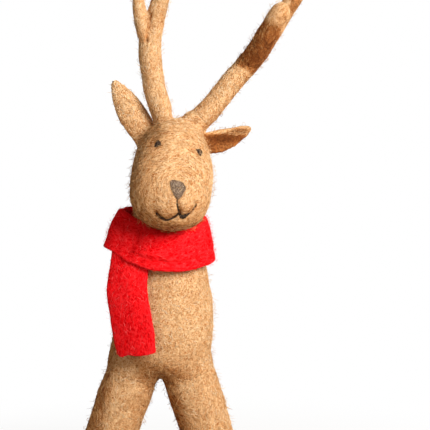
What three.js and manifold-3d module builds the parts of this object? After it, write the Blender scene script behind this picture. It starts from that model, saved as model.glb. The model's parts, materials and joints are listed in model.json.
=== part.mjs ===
// A standing reindeer of needle-felted wool over bent wire, with a felt scarf round its neck.
// Millimetres, +Z up. The animal faces -Y, so its own left side is +X.

import * as THREE from 'three';
import { mergeVertices } from 'three/addons/utils/BufferGeometryUtils.js';
import Module from 'manifold-3d';

const wasm = await Module();
wasm.setup();

// Clearances and overruns
const fitGap = 0.3; // air between two felt pieces that meet
const footFlat = 0.5; // depth of the flat that a sole is pressed to
const overrun = 6; // how far a cut runs past what it cuts

// Trunk
const crotchHeight = 89; // underside of the chest, between the front legs
const shoulderTop = 158; // top of the chest, inside the scarf
const chestWidth = 49;
const chestDepth = 46;
const barrelLength = 112; // from the neck's axis back to the rump
const barrelWidth = 44;
const barrelDepth = 41;
const barrelHeight = 112; // height of the barrel's middle
const rumpDrift = -5; // how far the rump stands to the right of the chest

// Neck
const neckRadius = 12.5;
const neckSeat = 12; // how deep the neck stands in the chest
const neckLength = 21; // from the shoulders up to where the head nods
const collarWidth = 38.2; // the neck's thick foot on the shoulders, which carries the scarf
const collarDepth = 35;
const headPivotHeight = shoulderTop + neckLength;

// Head
const headLength = 56;
const headWidth = 38.6;
const headHeight = 48;
const headRise = 17.2; // the head's middle above its pivot
const headAhead = 8; // and in front of it
const headShift = 3.2; // and to the left of it
const headRoll = 12;
const headYaw = 9;
const headPitch = 3;

// Face
const noseWidth = 8.4;
const noseHeight = 10.2;
const noseDrop = 5.9; // below the head's middle
const faceShift = 4.7; // how far the turned face's middle lies to the left of the head's
const eyeLength = 4.6;
const eyeWidth = 3.2;
const eyeSpread = 21; // between the two eyes
const eyeLift = 13; // above the head's middle
const eyeTilt = 12.5; // how far the line of the eyes drops to the left, in degrees
const inlayProud = 0.5; // how far an inlay stands out of the wool
const inlayDepth = 1.8; // how deep an inlay is felted in
const strandRadius = 0.6;
const mouthWidth = 20;
const mouthDrop = 10.8; // from the nose's middle down to the mouth

// Ears
const earLength = 34;
const earWidth = 14;
const earThickness = 3.4;
const earCup = 3.6; // how far the edges of the left ear curl out of its plane

// Antlers
const antlerRadius = 5.8;
const tineRadius = 3.9;
const forwardTineRadius = 5;
const antlerRise = 78; // from the crown to the tips

// Legs
const frontLegRadius = 13.3;
const hindLegRadius = 12;
const footRadius = 10.2;
const frontHipSpread = 27.8; // between the two front hips
const hindHipSpread = 25.2;
const frontHipShift = -2.1; // the pair's middle, to the right of the neck's axis
const frontHipForward = 2;
const frontHipHeight = crotchHeight + frontLegRadius * 0.3;
const hindHipHeight = barrelHeight - barrelDepth * 0.27;
const hindHipBack = barrelLength * 0.785;

// Tail
const tailLength = 17;
const tailRadius = 4.6;

// Scarf
const scarfWidth = 20;
const scarfThickness = 1.5;
const scarfEndLength = 42; // what hangs below the wrap
const scarfTuckLength = scarfWidth / 2; // what lies under the wrap above that

// Armature
const wireRadius = 0.8;
const wireEndCover = 7; // wool beyond a wire's end

// How far each joint turns, in degrees; the joints' reliefs are cut for these
const legSwing = 10;
const antlerSwing = 12;
const earSwing = 14;
const headLift = 12;
const tailSwing = 20;
const spareSwing = 2; // degrees that a relief has to spare

const radians = THREE.MathUtils.degToRad;
const vector = (x, y, z) => new THREE.Vector3(x, y, z);
const up = vector(0, 0, 1);
const sideways = vector(1, 0, 0);
const forward = vector(0, -1, 0);
const headCentre = vector(headShift, -headAhead, headPivotHeight + headRise);

// Colours of the wools, the felt and the wire
const wool = { color: 0xdca56a, roughness: 0.95, metalness: 0 };
const darkWool = { color: 0x51433a, roughness: 0.95, metalness: 0 };
const redFelt = { color: 0xd8131a, roughness: 0.95, metalness: 0 };
const steel = { color: 0x9a9a98, roughness: 0.35, metalness: 1 };

// Facets round each kind of form
const bodySides = 26;
const barrelSides = 24;
const limbSides = 16;
const tineSides = 12;
const wireSides = 6;
const reliefSides = 18;

const reindeer = new THREE.Group();

function add(name, solid, finish) {
  const mesh = new THREE.Mesh(geometryOf(solid), new THREE.MeshStandardMaterial(finish));
  mesh.name = name;
  reindeer.add(mesh);
}

// Closed surfaces as solids, and back
function signedVolume(geometry) {
  const position = geometry.getAttribute('position');
  const corner = [vector(0, 0, 0), vector(0, 0, 0), vector(0, 0, 0)];
  let volume = 0;
  for (let i = 0; i < geometry.index.count; i += 3) {
    corner.forEach((c, k) => c.fromBufferAttribute(position, geometry.index.getX(i + k)));
    volume += corner[0].dot(corner[1].cross(corner[2]));
  }
  return volume;
}

function solidOf(source) {
  let geometry = source.clone();
  geometry.deleteAttribute('normal');
  geometry.deleteAttribute('uv');
  geometry = mergeVertices(geometry);
  const triVerts = new Uint32Array(geometry.index.array);
  if (signedVolume(geometry) < 0) {
    for (let i = 0; i < triVerts.length; i += 3) {
      [triVerts[i + 1], triVerts[i + 2]] = [triVerts[i + 2], triVerts[i + 1]];
    }
  }
  const vertProperties = new Float32Array(geometry.getAttribute('position').array);
  return new wasm.Manifold(new wasm.Mesh({ numProp: 3, vertProperties, triVerts }));
}

function geometryOf(solid) {
  const { vertProperties, triVerts } = solid.getMesh();
  const geometry = new THREE.BufferGeometry();
  geometry.setAttribute('position', new THREE.BufferAttribute(vertProperties, 3));
  geometry.setIndex(new THREE.BufferAttribute(triVerts, 1));
  geometry.computeVertexNormals();
  return geometry;
}

// A closed skin over rings of points; a station of one point is a pole, and an open end is capped.
function loft(stations) {
  const positions = [];
  const index = [];
  const starts = stations.map((ring) => {
    const start = positions.length / 3;
    ring.forEach((p) => positions.push(p.x, p.y, p.z));
    return start;
  });
  const cap = (ring, start) => {
    const middle = ring.reduce((sum, p) => sum.add(p), vector(0, 0, 0)).divideScalar(ring.length);
    const centre = positions.length / 3;
    positions.push(middle.x, middle.y, middle.z);
    return ring.map((_, j) => [centre, start + j, start + ((j + 1) % ring.length)]);
  };
  for (let i = 0; i + 1 < stations.length; i += 1) {
    const [lower, upper] = [stations[i].length, stations[i + 1].length];
    const sides = Math.max(lower, upper);
    for (let j = 0; j < sides; j += 1) {
      const next = (j + 1) % sides;
      const a = starts[i] + (lower > 1 ? j : 0);
      const b = starts[i] + (lower > 1 ? next : 0);
      const c = starts[i + 1] + (upper > 1 ? next : 0);
      const d = starts[i + 1] + (upper > 1 ? j : 0);
      if (a !== b) index.push(a, b, c);
      if (c !== d) index.push(a, c, d);
    }
  }
  const first = stations[0];
  const last = stations[stations.length - 1];
  if (first.length > 1) cap(first, starts[0]).forEach(([m, a, b]) => index.push(m, b, a));
  if (last.length > 1) {
    cap(last, starts[stations.length - 1]).forEach(([m, a, b]) => index.push(m, a, b));
  }
  const geometry = new THREE.BufferGeometry();
  geometry.setAttribute('position', new THREE.Float32BufferAttribute(positions, 3));
  geometry.setIndex(index);
  return solidOf(geometry);
}

// An oval ring about a centre, on two half-axes
function oval(centre, across, along, sides) {
  return Array.from({ length: sides }, (_, j) => {
    const angle = (2 * Math.PI * j) / sides;
    return centre.clone().addScaledVector(across, Math.cos(angle)).addScaledVector(along, Math.sin(angle));
  });
}

// A limb of round section: a ball at its root, then a taper along a curve to a rounded end.
const ballShares = [0, 0.3, 0.55, 0.78];

function limb(curve, rootRadius, taperShares, endRadius, bluntShares, sides, grow = 0) {
  const side = vector(0, 0, 0);
  const ring = (centre, tangent, radius) => {
    side.crossVectors(tangent, forward);
    if (side.lengthSq() < Number.EPSILON) side.crossVectors(tangent, sideways);
    side.normalize();
    const rise = vector(0, 0, 0).crossVectors(side, tangent).normalize();
    return oval(centre, side.clone().multiplyScalar(radius), rise.multiplyScalar(radius), sides);
  };
  const root = curve.getPointAt(0);
  const start = curve.getTangentAt(0);
  const ballRadius = rootRadius + grow;
  const stations = ballShares.map((share) => {
    const angle = (share * Math.PI) / 2;
    const centre = root.clone().addScaledVector(start, -ballRadius * Math.cos(angle));
    return share === 0 ? [centre] : ring(centre, start, ballRadius * Math.sin(angle));
  });
  taperShares.forEach(([at, share]) => {
    stations.push(ring(curve.getPointAt(at), curve.getTangentAt(at), rootRadius * share + grow));
  });
  const tip = curve.getPointAt(1);
  const end = curve.getTangentAt(1);
  bluntShares.forEach(([at, share]) => {
    const centre = tip.clone().addScaledVector(end, (endRadius + grow) * at);
    stations.push(share === 0 ? [centre] : ring(centre, end, (endRadius + grow) * share));
  });
  return loft(stations);
}

// A round tube along a curve, for a wire, a strand or the channel that one lies in
function tube(curve, radius, steps) {
  const section = new THREE.Shape(
    Array.from({ length: wireSides }, (_, j) => {
      const angle = (2 * Math.PI * j) / wireSides;
      return new THREE.Vector2(radius * Math.cos(angle), radius * Math.sin(angle));
    }),
  );
  return solidOf(new THREE.ExtrudeGeometry(section, { steps, extrudePath: curve, bevelEnabled: false }));
}

// The stretch of a curve between two shares of its length, or past its ends
function stretch(curve, from, to, points, before = 0) {
  const path = Array.from({ length: points + 1 }, (_, i) =>
    curve.getPointAt(THREE.MathUtils.lerp(from, to, i / points)),
  );
  if (before > 0) path.unshift(path[0].clone().addScaledVector(curve.getTangentAt(from), -before));
  return new THREE.CatmullRomCurve3(path);
}

// The room that a ball-rooted limb needs: a ball's upper half and a skirt that flares by the swing.
function reliefCutter(centre, direction, radius, swing, skirt) {
  const room = (radius + fitGap) / Math.cos(Math.PI / reliefSides);
  const profile = [];
  const arcSteps = 5;
  for (let i = 0; i <= arcSteps; i += 1) {
    const angle = (Math.PI / 2) * (1 - i / arcSteps);
    profile.push(new THREE.Vector2(i === 0 ? 0 : room * Math.cos(angle), room * Math.sin(angle)));
  }
  profile.push(new THREE.Vector2(room + skirt * Math.tan(radians(swing + spareSwing)), -skirt));
  profile.push(new THREE.Vector2(0, -skirt));
  const geometry = new THREE.LatheGeometry(profile.reverse(), reliefSides);
  const turn = new THREE.Quaternion().setFromUnitVectors(vector(0, -1, 0), direction.clone().normalize());
  geometry.applyQuaternion(turn).translate(centre.x, centre.y, centre.z);
  return solidOf(geometry);
}

// Chest: a wool column that swells at the breast and narrows into the neck.
const chestShares = [
  [0.03, 0.5, 0.46, 0.03],
  [0.09, 0.82, 0.76, 0.03],
  [0.18, 0.96, 0.93, 0.02],
  [0.3, 1, 1, 0.01],
  [0.45, 1.01, 1.01, 0],
  [0.58, 0.99, 1, 0],
  [0.68, 0.94, 0.97, 0],
  [0.77, 0.86, 0.91, 0],
  [0.86, 0.81, 0.85, 0],
  [1, 0.77, 0.8, 0],
];

function chestForm(grow) {
  const height = shoulderTop - crotchHeight;
  const stations = chestShares.map(([at, wide, deep, lean]) =>
    oval(
      vector(0, -lean * chestDepth, crotchHeight + at * height),
      sideways.clone().multiplyScalar((wide * chestWidth) / 2 + grow),
      forward.clone().multiplyScalar((deep * chestDepth) / 2 + grow),
      bodySides,
    ),
  );
  stations.unshift([vector(0, -chestShares[0][3] * chestDepth, crotchHeight - grow)]);
  return loft(stations);
}

// Barrel: the wool trunk behind the chest, rounded at the rump.
const barrelShares = [
  [0.06, 0.5, 0.5],
  [0.12, 0.85, 0.85],
  [0.2, 0.97, 0.97],
  [0.36, 1, 1],
  [0.52, 0.98, 0.97],
  [0.68, 1.02, 1.01],
  [0.8, 1.04, 1.02],
  [0.89, 0.92, 0.9],
  [0.95, 0.7, 0.68],
  [0.985, 0.4, 0.39],
];

function barrelForm() {
  const along = (at) => vector(rumpDrift * at, barrelLength * at, barrelHeight);
  const stations = barrelShares.map(([at, wide, deep]) =>
    oval(
      along(at),
      sideways.clone().multiplyScalar((wide * barrelWidth) / 2),
      up.clone().multiplyScalar((deep * barrelDepth) / 2),
      barrelSides,
    ),
  );
  stations.unshift([along(barrelShares[0][0] / 2)]);
  stations.push([along(1)]);
  return loft(stations);
}

// Legs: thick tapering tubes of wool with a ball at the hip and a blunt foot.
const legTaperShares = [
  [0.02, 1],
  [0.14, 1.01],
  [0.28, 0.99],
  [0.44, 0.96],
  [0.6, 0.9],
  [0.75, 0.83],
];
const footShares = [
  [-0.9, 0.99],
  [-0.45, 0.98],
  [-0.15, 0.88],
  [-0.03, 0.72],
  [(footFlat * 0.5) / footRadius, 0.5],
  [footFlat / footRadius, 0],
];

function legCurve(hip, splay, footX, footY) {
  const lean = radians(splay);
  const third = hip.z / 3;
  const foot = vector(footX, footY, 0);
  return new THREE.CubicBezierCurve3(
    hip,
    hip.clone().addScaledVector(vector(Math.sin(lean), 0, -Math.cos(lean)), third),
    foot.clone().addScaledVector(up, third),
    foot,
  );
}

const floorSize = barrelLength * 4;
const floor = solidOf(
  new THREE.BoxGeometry(floorSize, floorSize, overrun).translate(0, 0, -overrun / 2),
);

const frontHip = (side) =>
  vector(frontHipShift + (side * frontHipSpread) / 2, -frontHipForward, frontHipHeight);
const hindHip = (side) =>
  vector(rumpDrift + (side * hindHipSpread) / 2, hindHipBack, hindHipHeight);
const hipRoomShare = 1.6; // how far down a leg its relief runs, as a share of its radius
// The foot's steps aside and back are shares of the hip's height.
const legs = [
  {
    name: 'leg_front_right',
    hip: frontHip(-1),
    radius: frontLegRadius,
    splay: -20,
    stepShare: -0.245,
    backShare: -0.01,
  },
  {
    name: 'leg_front_left',
    hip: frontHip(1),
    radius: frontLegRadius,
    splay: 17.5,
    stepShare: 0.215,
    backShare: 0.01,
  },
  {
    name: 'leg_hind_right',
    hip: hindHip(-1),
    radius: hindLegRadius,
    splay: -10,
    stepShare: -0.15,
    backShare: 0.06,
  },
  {
    name: 'leg_hind_left',
    hip: hindHip(1),
    radius: hindLegRadius,
    splay: 10,
    stepShare: 0.15,
    backShare: 0.06,
  },
];
legs.forEach((leg) => {
  const { hip, radius } = leg;
  leg.curve = legCurve(hip, leg.splay, hip.x + leg.stepShare * hip.z, hip.y + leg.backShare * hip.z);
  leg.relief = reliefCutter(hip, leg.curve.getTangentAt(0), radius, legSwing, radius * hipRoomShare);
});

// Armature: one wire from the rump through the barrel and up the chest, and one in the neck.
const neckFoot = shoulderTop - neckSeat;
// A height between the barrel's middle and the foot of the neck
const chestPlace = (share) => THREE.MathUtils.lerp(barrelHeight, neckFoot, share);
const spineCurve = new THREE.CatmullRomCurve3([
  vector(rumpDrift, barrelLength - wireEndCover - tailRadius, barrelHeight),
  vector(rumpDrift * 0.6, barrelLength * 0.6, barrelHeight),
  vector(rumpDrift * 0.25, barrelLength * 0.25, barrelHeight + barrelDepth * 0.03),
  vector(rumpDrift * 0.05, barrelLength * 0.05, chestPlace(0.3)),
  vector(0, 0, chestPlace(0.6)),
  vector(0, 0, neckFoot - wireRadius),
]);
const spineSteps = 14;

let chest = chestForm(0);
let barrel = barrelForm().subtract(chestForm(fitGap));
legs.forEach(({ relief }) => {
  chest = chest.subtract(relief);
  barrel = barrel.subtract(relief);
});
const spineChannel = tube(spineCurve, wireRadius + fitGap, spineSteps);
const chestWireWay = tube(
  new THREE.LineCurve3(vector(0, 0, neckFoot - overrun), vector(0, 0, neckFoot + overrun)),
  wireRadius + fitGap,
  1,
);
barrel = barrel.subtract(spineChannel);
chest = chest.subtract(spineChannel).subtract(chestWireWay);
add('spine_wire', tube(spineCurve, wireRadius, spineSteps), steel);

legs.forEach(({ name, radius, curve }) => {
  const coverShare = radius / curve.getLength();
  const gapShare = (fitGap * 2) / curve.getLength();
  const channelCurve = stretch(curve, 0, 1 - coverShare, 6, radius + overrun);
  const wireCurve = stretch(curve, 0, 1 - coverShare - gapShare, 6, radius - fitGap * 2);
  const channel = tube(channelCurve, wireRadius + fitGap, 8);
  const wire = tube(wireCurve, wireRadius, 8);
  const leg = limb(curve, radius, legTaperShares, footRadius, footShares, limbSides);
  add(name, leg.subtract(floor).subtract(channel), wool);
  add(`${name}_wire`, wire, steel);
});

// Tail: a small drop of wool on the rump.
const tailRoot = vector(rumpDrift, barrelLength - tailRadius * 0.4, barrelHeight + barrelDepth * 0.16);
const tailCurve = new THREE.CatmullRomCurve3([
  tailRoot,
  tailRoot.clone().add(vector(0, tailLength * 0.45, -tailLength * 0.1)),
  tailRoot.clone().add(vector(0, tailLength * 0.75, -tailLength * 0.5)),
]);
const tailTaperShares = [
  [0.04, 1],
  [0.3, 1.12],
  [0.6, 1],
  [0.85, 0.72],
];
const pointShares = [
  [0, 1],
  [0.5, 0.8],
  [0.85, 0.45],
  [1, 0],
];
const tail = limb(tailCurve, tailRadius, tailTaperShares, tailRadius * 0.55, pointShares, tineSides);
add('tail', tail, wool);
const tailRoom = tailRadius * 1.06; // the tail swells a little behind its root
const tailRelief = reliefCutter(tailRoot, tailCurve.getTangentAt(0), tailRoom, tailSwing, overrun);
add('barrel', barrel.subtract(tailRelief), wool);

// Neck: a wool post that turns in the chest, thick where it stands on the shoulders, and
// ends in a dome inside the head.
// The collar's stations: shares of the neck's length up, of its width and depth, and of its
// depth for how far the station drops in front and rises behind.
const collarShares = [
  [0, 0.97, 1, 0],
  [0.24, 0.99, 1, 0.03],
  [0.45, 0.98, 0.99, 0.075],
  [0.57, 0.91, 0.91, 0.1],
  [0.71, 0.79, 0.8, 0.07],
];
const neckDomeShares = [0.2, 0.4, 0.6, 0.8];
const neckSection = (height, radius) =>
  oval(vector(0, 0, height), vector(radius, 0, 0), vector(0, -radius, 0), bodySides);
const neckPost = loft([
  neckSection(neckFoot + fitGap, neckRadius),
  neckSection(shoulderTop + fitGap, neckRadius),
  ...collarShares.map(([at, wide, deep, tilt]) =>
    oval(
      vector(0, 0, shoulderTop + fitGap + at * neckLength),
      vector((wide * collarWidth) / 2, 0, 0),
      vector(0, (-deep * collarDepth) / 2, -tilt * collarDepth),
      bodySides,
    ),
  ),
  neckSection(headPivotHeight, neckRadius),
  ...neckDomeShares.map((share) => {
    const angle = (share * Math.PI) / 2;
    return neckSection(headPivotHeight + neckRadius * Math.sin(angle), neckRadius * Math.cos(angle));
  }),
  [vector(0, 0, headPivotHeight + neckRadius)],
]);
const neckWireCurve = new THREE.LineCurve3(
  vector(0, 0, neckFoot + fitGap * 2),
  vector(0, 0, headPivotHeight + neckRadius - wireEndCover),
);
const neckChannelCurve = new THREE.LineCurve3(
  vector(0, 0, neckFoot - overrun),
  vector(0, 0, headPivotHeight + neckRadius - wireEndCover + fitGap),
);
add('neck', neckPost.subtract(tube(neckChannelCurve, wireRadius + fitGap, 1)), wool);
add('neck_wire', tube(neckWireCurve, wireRadius, 1), steel);
const neckBore = solidOf(
  new THREE.CylinderGeometry(neckRadius + fitGap, neckRadius + fitGap, neckSeat + overrun, bodySides)
    .rotateX(Math.PI / 2)
    .translate(0, 0, neckFoot + (neckSeat + overrun) / 2),
);
add('chest', chest.subtract(neckBore), wool);

// Head: an egg of wool from the back of the skull to a broad muzzle, in its own frame.
// Each station: share of the length from the back, half-width, half-height and height of its middle.
const headShares = [
  [0.02, 0.3, 0.28, 0.16],
  [0.07, 0.54, 0.52, 0.16],
  [0.15, 0.74, 0.76, 0.16],
  [0.25, 0.87, 0.93, 0.13],
  [0.36, 0.93, 1.02, 0.08],
  [0.48, 0.96, 1.05, 0],
  [0.6, 0.99, 1.05, -0.075],
  [0.7, 1, 0.99, -0.135],
  [0.79, 0.97, 0.865, -0.215],
  [0.87, 0.87, 0.69, -0.285],
  [0.93, 0.7, 0.51, -0.325],
  [0.975, 0.43, 0.3, -0.35],
];
const headBack = headLength * 0.38; // the skull's reach behind the head's middle
const jawShare = 0.3; // how much broader than an oval the head is at its underside

const headTurn = new THREE.Matrix4()
  .makeRotationFromEuler(
    new THREE.Euler(radians(headPitch), radians(headRoll), radians(headYaw), 'ZYX'),
  )
  .setPosition(headCentre);

// A ring of the head: an oval that stays broad below its middle, as the cheeks and the jaw do
function jawRing(centre, across, along) {
  return oval(centre, across, along, bodySides).map((point, j) => {
    const angle = (2 * Math.PI * j) / bodySides;
    const below = Math.max(-Math.sin(angle), 0);
    return point.addScaledVector(across, Math.cos(angle) * jawShare * below ** 1.5);
  });
}

function headForm(grow) {
  const first = headShares[0];
  const last = headShares[headShares.length - 1];
  const rows = [[0, 0, 0, first[3]], ...headShares, [1, 0, 0, last[3]]];
  const stations = rows.map(([at, wide, high, lift], i) => {
    const [before, after] = [rows[Math.max(i - 1, 0)], rows[Math.min(i + 1, rows.length - 1)]];
    const run = (after[0] - before[0]) * headLength;
    const swell = ((after[1] - before[1]) * headWidth) / 2;
    const slope = Math.hypot(run, swell);
    const isPole = wide === 0;
    const ahead = isPole ? Math.sign(i - 1) * grow : (-swell / slope) * grow;
    const around = (run / slope) * grow;
    const centre = vector(0, headBack - at * headLength - ahead, (lift * headHeight) / 2);
    if (isPole) return [centre];
    return jawRing(
      centre,
      sideways.clone().multiplyScalar((wide * headWidth) / 2 + around),
      up.clone().multiplyScalar((high * headHeight) / 2 + around),
    );
  });
  return loft(stations.map((ring) => ring.map((p) => p.applyMatrix4(headTurn))));
}

const headSkin = new THREE.Mesh(geometryOf(headForm(0)), new THREE.MeshBasicMaterial());
const ray = new THREE.Raycaster();

// The point of the face straight behind a place in the front view
function onFace(x, z) {
  ray.set(vector(x, -headLength * 2, z), vector(0, 1, 0));
  return ray.intersectObject(headSkin)[0].point;
}

// The frame that lies flat on the face there, its third axis standing out of the wool
function faceFrame(x, z, reach) {
  const along = onFace(x + reach, z).sub(onFace(x - reach, z));
  const rise = onFace(x, z + reach).sub(onFace(x, z - reach));
  const out = vector(0, 0, 0).crossVectors(along, rise).normalize();
  const level = vector(0, 0, 0).crossVectors(up, out).normalize();
  const frame = new THREE.Matrix4().makeBasis(level, vector(0, 0, 0).crossVectors(out, level), out);
  return frame.setPosition(onFace(x, z));
}

// An outline drawn in such a frame, pushed through the face
function facePrism(points, frame, inward, outward) {
  const depth = inward + outward;
  const geometry = new THREE.ExtrudeGeometry(new THREE.Shape(points), { depth, bevelEnabled: false });
  return solidOf(geometry.translate(0, 0, -inward).applyMatrix4(frame));
}

// An outline with each of its edges moved out by the same distance
function grownOutline(points, grow) {
  const count = points.length;
  const turn = THREE.ShapeUtils.isClockWise(points) ? -1 : 1;
  const normal = (a, b) => new THREE.Vector2(b.y - a.y, a.x - b.x).multiplyScalar(turn).normalize();
  return points.map((p, i) => {
    const before = normal(points[(i + count - 1) % count], p);
    const after = normal(p, points[(i + 1) % count]);
    const corner = before.add(after).normalize();
    return p.clone().addScaledVector(corner, grow / corner.dot(after));
  });
}

let head = headForm(0);
const inlayLimit = headForm(inlayProud);
const inlayFloor = headForm(-inlayDepth);
const pocketFloor = headForm(-inlayDepth - fitGap);

// An inlay of dark wool: its outline, felted into a pocket of the head and left a little proud
function inlay(name, centre, points) {
  const frame = faceFrame(centre.x, centre.y, eyeWidth);
  const piece = facePrism(points, frame, overrun, overrun).intersect(inlayLimit).subtract(inlayFloor);
  add(name, piece, darkWool);
  const reach = overrun + fitGap;
  const pocket = facePrism(grownOutline(points, fitGap), frame, reach, reach);
  head = head.subtract(pocket.subtract(pocketFloor));
}

// Nose: a rounded triangle, broad at the top
const faceX = headCentre.x + faceShift;
const noseMiddle = new THREE.Vector2(faceX, headCentre.z - noseDrop);
const noseOutlineShares = [
  [0, -0.5],
  [0.22, -0.42],
  [0.42, -0.08],
  [0.52, 0.18],
  [0.42, 0.36],
  [0.1, 0.5],
  [-0.3, 0.5],
  [-0.5, 0.38],
  [-0.46, 0.16],
  [-0.28, -0.2],
  [-0.14, -0.42],
];
inlay(
  'nose',
  noseMiddle,
  noseOutlineShares.map(([x, z]) => new THREE.Vector2(x * noseWidth, z * noseHeight)),
);

// Eyes: slanted almonds, wide on the inner side
const eyeOutlineShares = [
  [-0.5, 0],
  [-0.2, 0.34],
  [0.15, 0.5],
  [0.42, 0.32],
  [0.5, -0.04],
  [0.32, -0.4],
  [-0.05, -0.42],
  [-0.32, -0.22],
];
const eyesMiddle = new THREE.Vector2(faceX, headCentre.z + eyeLift);
[
  { name: 'eye_right', side: -1, slant: 44 },
  { name: 'eye_left', side: 1, slant: -40 },
].forEach(({ name, side, slant }) => {
  const still = new THREE.Vector2();
  const place = new THREE.Vector2((side * eyeSpread) / 2, 0).rotateAround(still, -radians(eyeTilt));
  const outline = eyeOutlineShares.map(([along, across]) =>
    new THREE.Vector2(-side * along * eyeLength, across * eyeWidth).rotateAround(still, radians(slant)),
  );
  inlay(name, place.add(eyesMiddle), outline);
});

// Mouth: two dark strands felted into the muzzle, one down from the nose and on along a lip.
const mouthTop = new THREE.Vector2(noseMiddle.x, noseMiddle.y - noseHeight / 2 - strandRadius * 2);
const mouthCorner = new THREE.Vector2(noseMiddle.x + strandRadius, noseMiddle.y - mouthDrop);
const rightLipShares = [
  [-0.07, -0.09],
  [-0.18, -0.17],
  [-0.29, -0.22],
  [-0.4, -0.18],
  [-0.49, -0.11],
  [-0.55, -0.03],
];
const leftLipShares = [
  [0.07, -0.09],
  [0.17, -0.11],
  [0.26, -0.05],
  [0.34, 0.07],
  [0.43, 0.21],
];
const lip = (shares) =>
  shares.map(([x, z]) => onFace(mouthCorner.x + x * mouthWidth, mouthCorner.y + z * mouthWidth));
const strands = {
  mouth_right: [
    onFace(mouthTop.x, mouthTop.y),
    onFace(mouthTop.x, (mouthTop.y + mouthCorner.y) / 2),
    onFace(mouthCorner.x, mouthCorner.y),
    ...lip(rightLipShares),
  ],
  mouth_left: lip(leftLipShares),
};
Object.entries(strands).forEach(([name, points]) => {
  const curve = new THREE.CatmullRomCurve3(points);
  const steps = points.length * 3;
  add(name, tube(curve, strandRadius, steps), darkWool);
  head = head.subtract(tube(curve, strandRadius + fitGap, steps));
});

// Room in the head for the neck's dome
const headPivot = vector(0, 0, headPivotHeight);
const down = up.clone().negate();
head = head.subtract(reliefCutter(headPivot, down, neckRadius, headLift, neckLength * 1.5));

// A place in the head, in shares of its width, length and height from its middle
const headPlace = ([across, back, rise]) =>
  vector(across * headWidth, back * headLength, rise * headHeight).add(headCentre);

// Antlers: wool wound on wire, each a bent beam with one tine.
const rightRootShares = [-0.057, 0.054, 0.485];
const leftRootShares = [0.295, 0.054, 0.444];
// Each point: shares of the rise across, forward and up from the root
const rightBeamShares = [
  [0, 0, 0],
  [-0.035, 0, 0.1],
  [-0.066, -0.01, 0.2],
  [-0.083, -0.02, 0.31],
  [-0.096, -0.03, 0.44],
  [-0.092, -0.03, 0.54],
  [-0.063, -0.02, 0.64],
  [-0.035, 0, 0.75],
  [-0.005, 0.02, 0.87],
  [0.02, 0.05, 0.98],
];
const leftBeamShares = [
  [0, 0, 0],
  [0.077, 0, 0.07],
  [0.145, -0.01, 0.147],
  [0.198, -0.02, 0.22],
  [0.27, -0.03, 0.305],
  [0.344, -0.04, 0.387],
  [0.41, -0.05, 0.465],
  [0.48, -0.05, 0.565],
  [0.56, -0.04, 0.69],
  [0.645, -0.02, 0.82],
  [0.72, 0.02, 0.94],
];
const rightTineShares = [
  [-0.13, 0.01, 0.58],
  [-0.158, 0.03, 0.7],
  [-0.168, 0.04, 0.83],
];
const leftTineShares = [
  [0.41, 0.07, 0.49],
  [0.47, 0.17, 0.6],
  [0.545, 0.24, 0.73],
];
const placesOf = (root, shares) =>
  shares.map(([across, ahead, rise]) =>
    root.clone().add(vector(across, -ahead, rise).multiplyScalar(antlerRise)),
  );
const beamTaperShares = [
  [0.03, 1],
  [0.12, 0.97],
  [0.22, 0.95],
  [0.32, 0.94],
  [0.42, 0.95],
  [0.52, 0.94],
  [0.62, 0.84],
  [0.72, 0.77],
  [0.82, 0.74],
  [0.92, 0.68],
];
const tineTaperShares = [
  [0.1, 1],
  [0.3, 0.97],
  [0.5, 0.88],
  [0.7, 0.74],
  [0.88, 0.62],
];
const bluntTineTaperShares = [
  [0.1, 1],
  [0.35, 0.98],
  [0.6, 0.97],
  [0.85, 0.95],
];
const tipShare = 0.64; // a beam's radius at its tip
const forkReach = antlerRadius * 1.2; // where a tine's wire starts, clear of the beam's own
[
  {
    side: 'right',
    root: headPlace(rightRootShares),
    beamShares: rightBeamShares,
    forkShare: 0.48,
    tineShares: rightTineShares,
    radius: tineRadius,
    taperShares: tineTaperShares,
    pointShare: 0.5,
  },
  {
    side: 'left',
    root: headPlace(leftRootShares),
    beamShares: leftBeamShares,
    forkShare: 0.45,
    tineShares: leftTineShares,
    radius: forwardTineRadius,
    taperShares: bluntTineTaperShares,
    pointShare: 0.92,
  },
].forEach(({ side, root, beamShares, forkShare, tineShares, radius, taperShares, pointShare }) => {
  const beam = new THREE.CatmullRomCurve3(placesOf(root, beamShares));
  const tine = new THREE.CatmullRomCurve3([beam.getPointAt(forkShare), ...placesOf(root, tineShares)]);
  const beamForm = (grow) =>
    limb(beam, antlerRadius, beamTaperShares, antlerRadius * tipShare, pointShares, limbSides, grow);
  const beamCover = 1 - wireEndCover / beam.getLength();
  const beamChannel = stretch(beam, 0, beamCover, 9, antlerRadius + overrun);
  const wireEnd = beamCover - (fitGap * 2) / beam.getLength();
  const beamWire = stretch(beam, 0, wireEnd, 9, antlerRadius - fitGap * 2);
  const tineForm = limb(tine, radius, taperShares, radius * pointShare, pointShares, tineSides);
  const tineCover = 1 - wireEndCover / tine.getLength();
  const tineWireEnd = tineCover - (fitGap * 2) / tine.getLength();
  const tineWire = stretch(tine, forkReach / tine.getLength(), tineWireEnd, 4);
  const tineChannel = tube(stretch(tine, 0, tineCover, 4), wireRadius + fitGap, 5);
  const channel = tube(beamChannel, wireRadius + fitGap, 12);
  add(`antler_${side}`, beamForm(0).subtract(channel).subtract(tineChannel), wool);
  add(`antler_${side}_wire`, tube(beamWire, wireRadius, 12), steel);
  add(`antler_${side}_tine`, tineForm.subtract(beamForm(fitGap)).subtract(tineChannel), wool);
  add(`antler_${side}_tine_wire`, tube(tineWire, wireRadius, 5), steel);
  const direction = beam.getTangentAt(0);
  head = head.subtract(reliefCutter(root, direction, antlerRadius, antlerSwing, antlerRadius * 2));
});

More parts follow.
